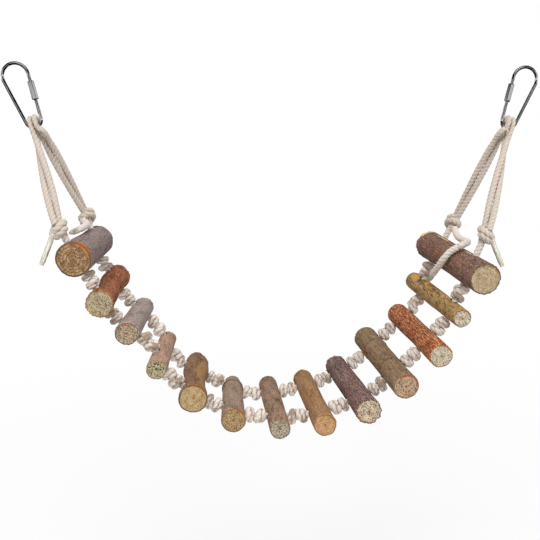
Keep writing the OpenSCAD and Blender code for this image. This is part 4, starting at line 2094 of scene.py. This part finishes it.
@dataclass
class Studio:
    """Camera, soft light, a pale floor well below the ladder, and shades for the wire to mirror.

    Attributes:
        camera_mm: The camera's place in millimetres.
        pitch: Degrees that it looks down.
        yaw: Degrees that it looks to the right.
        roll: Degrees that it is turned about its view.
        focal_px: Its focal length in pixels of the frame.
        frame_px: The frame's width.
        sensor_mm: Width of its sensor.
        aim: Where the lamps point, in metres.
        floor_z: Height of the floor.
        floor_half: Half the floor's width.
        world_light: Strength of the soft light all round.
        shade_at: Middle of the shades' ellipsoid, in metres.
        shade_m: Its radius, and its height below its middle, which keeps it above the floor.
        shade_steps: Faces of a shade, up and round.
        lamps: The lamps, hidden from mirrors.
        shades: The shades. The opening between them shows white in the wire, and they make its bands.
    """

    camera_mm: Vector = (148.3, -500.0, -66.4)
    pitch: float = 10.29
    yaw: float = 4.21
    roll: float = -1.24
    focal_px: float = 645.5
    frame_px: float = 540.0
    sensor_mm: float = 36.0
    aim: Vector = (0.19, 0.0, -0.15)
    floor_z: float = -0.46
    floor_half: float = 6.0
    world_light: float = 0.55
    shade_at: Vector = (0.19, 0.0, -0.03)
    shade_m: Pair = (1.5, 0.4)
    shade_steps: tuple[int, int] = (8, 48)
    lamps: tuple[Lamp, ...] = (
        Lamp("key", (0.0, -0.7, 1.0), 0.9, 16.0),
        Lamp("fill", (1.1, -0.8, 0.3), 1.0, 4.0),
    )
    shades: tuple[Shade, ...] = (
        Shade("upper_shade", 25.0, 32.0),
        Shade("high_shade", 32.0, 72.0, -52.0, 230.0),
        Shade("top_shade", 72.0, 89.0),
        Shade("front_shade", 7.0, 25.0, -155.0, -25.0),
        Shade("back_shade", 7.0, 25.0, 25.0, 155.0),
        Shade("lower_shade", -89.0, -1.0),
    )

    def stand(self, thing: Piece, axes: Array, at: Array) -> None:
        """Puts a camera or a lamp in its place.

        Args:
            thing: The object.
            axes: Its own right, up and back as rows.
            at: Its place in metres.
        """
        matrix = np.eye(4)
        matrix[:3, :3] = np.transpose(axes)
        matrix[:3, 3] = at
        thing.matrix_world = Matrix(matrix.tolist())

    def camera(self) -> None:
        """The camera at the photograph's viewing angle: turned by yaw and pitch, then by roll."""
        p, y, r = np.radians([self.pitch, self.yaw, self.roll])
        ahead = np.array([np.sin(y) * np.cos(p), np.cos(y) * np.cos(p), -np.sin(p)])
        right = np.array([np.cos(y), -np.sin(y), 0.0])
        up = np.cross(right, ahead)
        across = np.cos(r) * right + np.sin(r) * up
        upward = -np.sin(r) * right + np.cos(r) * up
        data = bpy.data.cameras.new("camera")
        data.sensor_width = self.sensor_mm
        data.lens = self.focal_px / self.frame_px * self.sensor_mm
        data.clip_start = 0.01
        data.clip_end = 50.0
        camera = into_scene("camera", data)
        self.stand(camera, np.stack([across, upward, -ahead]), np.array(self.camera_mm) * MM)
        bpy.context.scene.camera = camera

    def light(self, lamp: Lamp) -> None:
        """Hangs a lamp that faces the ladder's middle and that mirrors don't show.

        Args:
            lamp: The lamp.
        """
        data = bpy.data.lights.new(lamp.name, "AREA")
        data.size = lamp.size
        data.energy = lamp.watts
        piece = into_scene(lamp.name, data)
        back = unit(np.array(lamp.at) - np.array(self.aim))
        right = unit(np.cross([0.0, 0.0, 1.0], back))
        self.stand(piece, np.stack([right, np.cross(back, right), back]), np.array(lamp.at))
        piece.visible_glossy = False

    def world(self) -> None:
        """Plain soft light all round, seen as white by the camera, through clear things and in gloss."""
        world = bpy.data.worlds.new("studio")
        bpy.context.scene.world = world
        world.use_nodes = True
        tree = world.node_tree
        tree.nodes.clear()
        rays = add(tree, "LightPath").node.outputs
        seen = rays["Is Camera Ray"]
        for other in ("Is Transmission Ray", "Is Glossy Ray"):
            seen = add(tree, "Math", {0: seen, 1: rays[other]}, operation="MAXIMUM")
        soft, white = (
            add(tree, "Background", {"Color": WHITE, "Strength": strength})
            for strength in (self.world_light, 1.0)
        )
        add(tree, "OutputWorld", {0: add(tree, "MixShader", {0: seen, 1: soft, 2: white})})

    def floor(self) -> None:
        """A wide pale floor, white to the camera but for a trace of shadow under the ladder."""
        mesh = bpy.data.meshes.new("floor")
        half, z = self.floor_half, self.floor_z
        corners = [(-half, -half, z), (half, -half, z), (half, half, z), (-half, half, z)]
        mesh.from_pydata(corners, [], [(0, 1, 2, 3)])
        material, tree = new_material("pale_floor")
        point = add(tree, "TexCoord", None, "Object")
        under = {0: point, 1: (self.aim[0], 0.0, z)}
        away = add(tree, "VectorMath", under, "Value", operation="DISTANCE")
        fade = add(tree, "MapRange", {0: away, 1: 0.1, 2: 0.9, 3: 0.8, 4: 1.0}, **SMOOTH)
        seen = add(tree, "LightPath", None, "Is Camera Ray")
        share = add(tree, "Math", {0: seen, 1: fade}, operation="MULTIPLY")
        matt = add(tree, "BsdfDiffuse", {"Color": linear("#f2f2f2")})
        white = add(tree, "Emission", {"Color": WHITE, "Strength": 1.0})
        add(tree, "OutputMaterial", {0: add(tree, "MixShader", {0: share, 1: matt, 2: white})})
        mesh.materials.append(material)
        into_scene("floor", mesh)

    def shade(self, shade: Shade) -> None:
        """Hangs a shade: a grid of height and turn on an ellipsoid that is flatter below.

        Args:
            shade: The shade.
        """
        rows, columns = self.shade_steps
        lift = np.radians(np.linspace(shade.low, shade.high, rows + 1))
        turn = np.radians(np.linspace(shade.start, shade.stop, columns + 1))
        lift, turn = np.meshgrid(lift, turn, indexing="ij")
        wide, low = self.shade_m
        out = wide * np.cos(lift)
        high = np.where(lift < 0, low, wide) * np.sin(lift)
        points = np.stack([out * np.cos(turn), out * np.sin(turn), high], -1) + self.shade_at
        i = np.arange(rows)[:, None] * (columns + 1)
        j = np.arange(columns)[None, :]
        faces = np.stack([i + j, i + j + 1, i + j + columns + 2, i + j + columns + 1], -1)
        mesh = bpy.data.meshes.new(shade.name)
        mesh.from_pydata(points.reshape(-1, 3).tolist(), [], faces.reshape(-1, 4).tolist())
        material, tree = new_material("black_cloth")
        matt = add(tree, "BsdfDiffuse", {"Color": linear("#101010")})
        add(tree, "OutputMaterial", {0: matt})
        mesh.materials.append(material)
        cloth = into_scene(shade.name, mesh)
        for sight in ("camera", "diffuse", "shadow", "transmission"):
            setattr(cloth, "visible_" + sight, False)

    def build(self) -> None:
        """Camera, floor, world, lamps and shades."""
        bpy.context.scene.view_settings.view_transform = "Standard"
        self.camera()
        self.floor()
        self.world()
        for lamp in self.lamps:
            self.light(lamp)
        for shade in self.shades:
            self.shade(shade)


def main() -> None:
    """Builds the stage and the ladder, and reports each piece."""
    logging.basicConfig(level=logging.INFO, format="%(name)s: %(message)s")
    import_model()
    Studio().build()
    cotton = CottonRope().build()
    # A lighter copy of the rope's colours: painted light that lifts the knots and the tails out of their
    # shade.
    lightened_cotton = CottonRope(
        "lightened_cotton_rope",
        crest="#ebe1d6",
        shade="#c5ae98",
        grey="#dbd0c7",
        grey_shade="#ac9b8f",
        crease="#927862",
    ).build()
    tape = ClearTape().build()
    wire = PlatedWire().build()
    sleeve = PlatedWire("satin_plated_sleeve", "#c4c5c2", roughness=0.16).build()
    pieces: list[Piece] = []
    for end in End:
        for side in Side:
            pieces += EndFitting(end, side, cotton, lightened_cotton, tape).build()
    pieces += [RopeRun(side, lightened_cotton).build() for side in Side]
    for end in End:
        pieces += Link(end, wire, sleeve).build()
    pieces += [Perch(branch).build() for branch in BRANCHES]
    for piece in pieces:
        LOG.info("%s: %d faces", piece.name, len(piece.data.polygons))


if __name__ == "__main__":
    main()
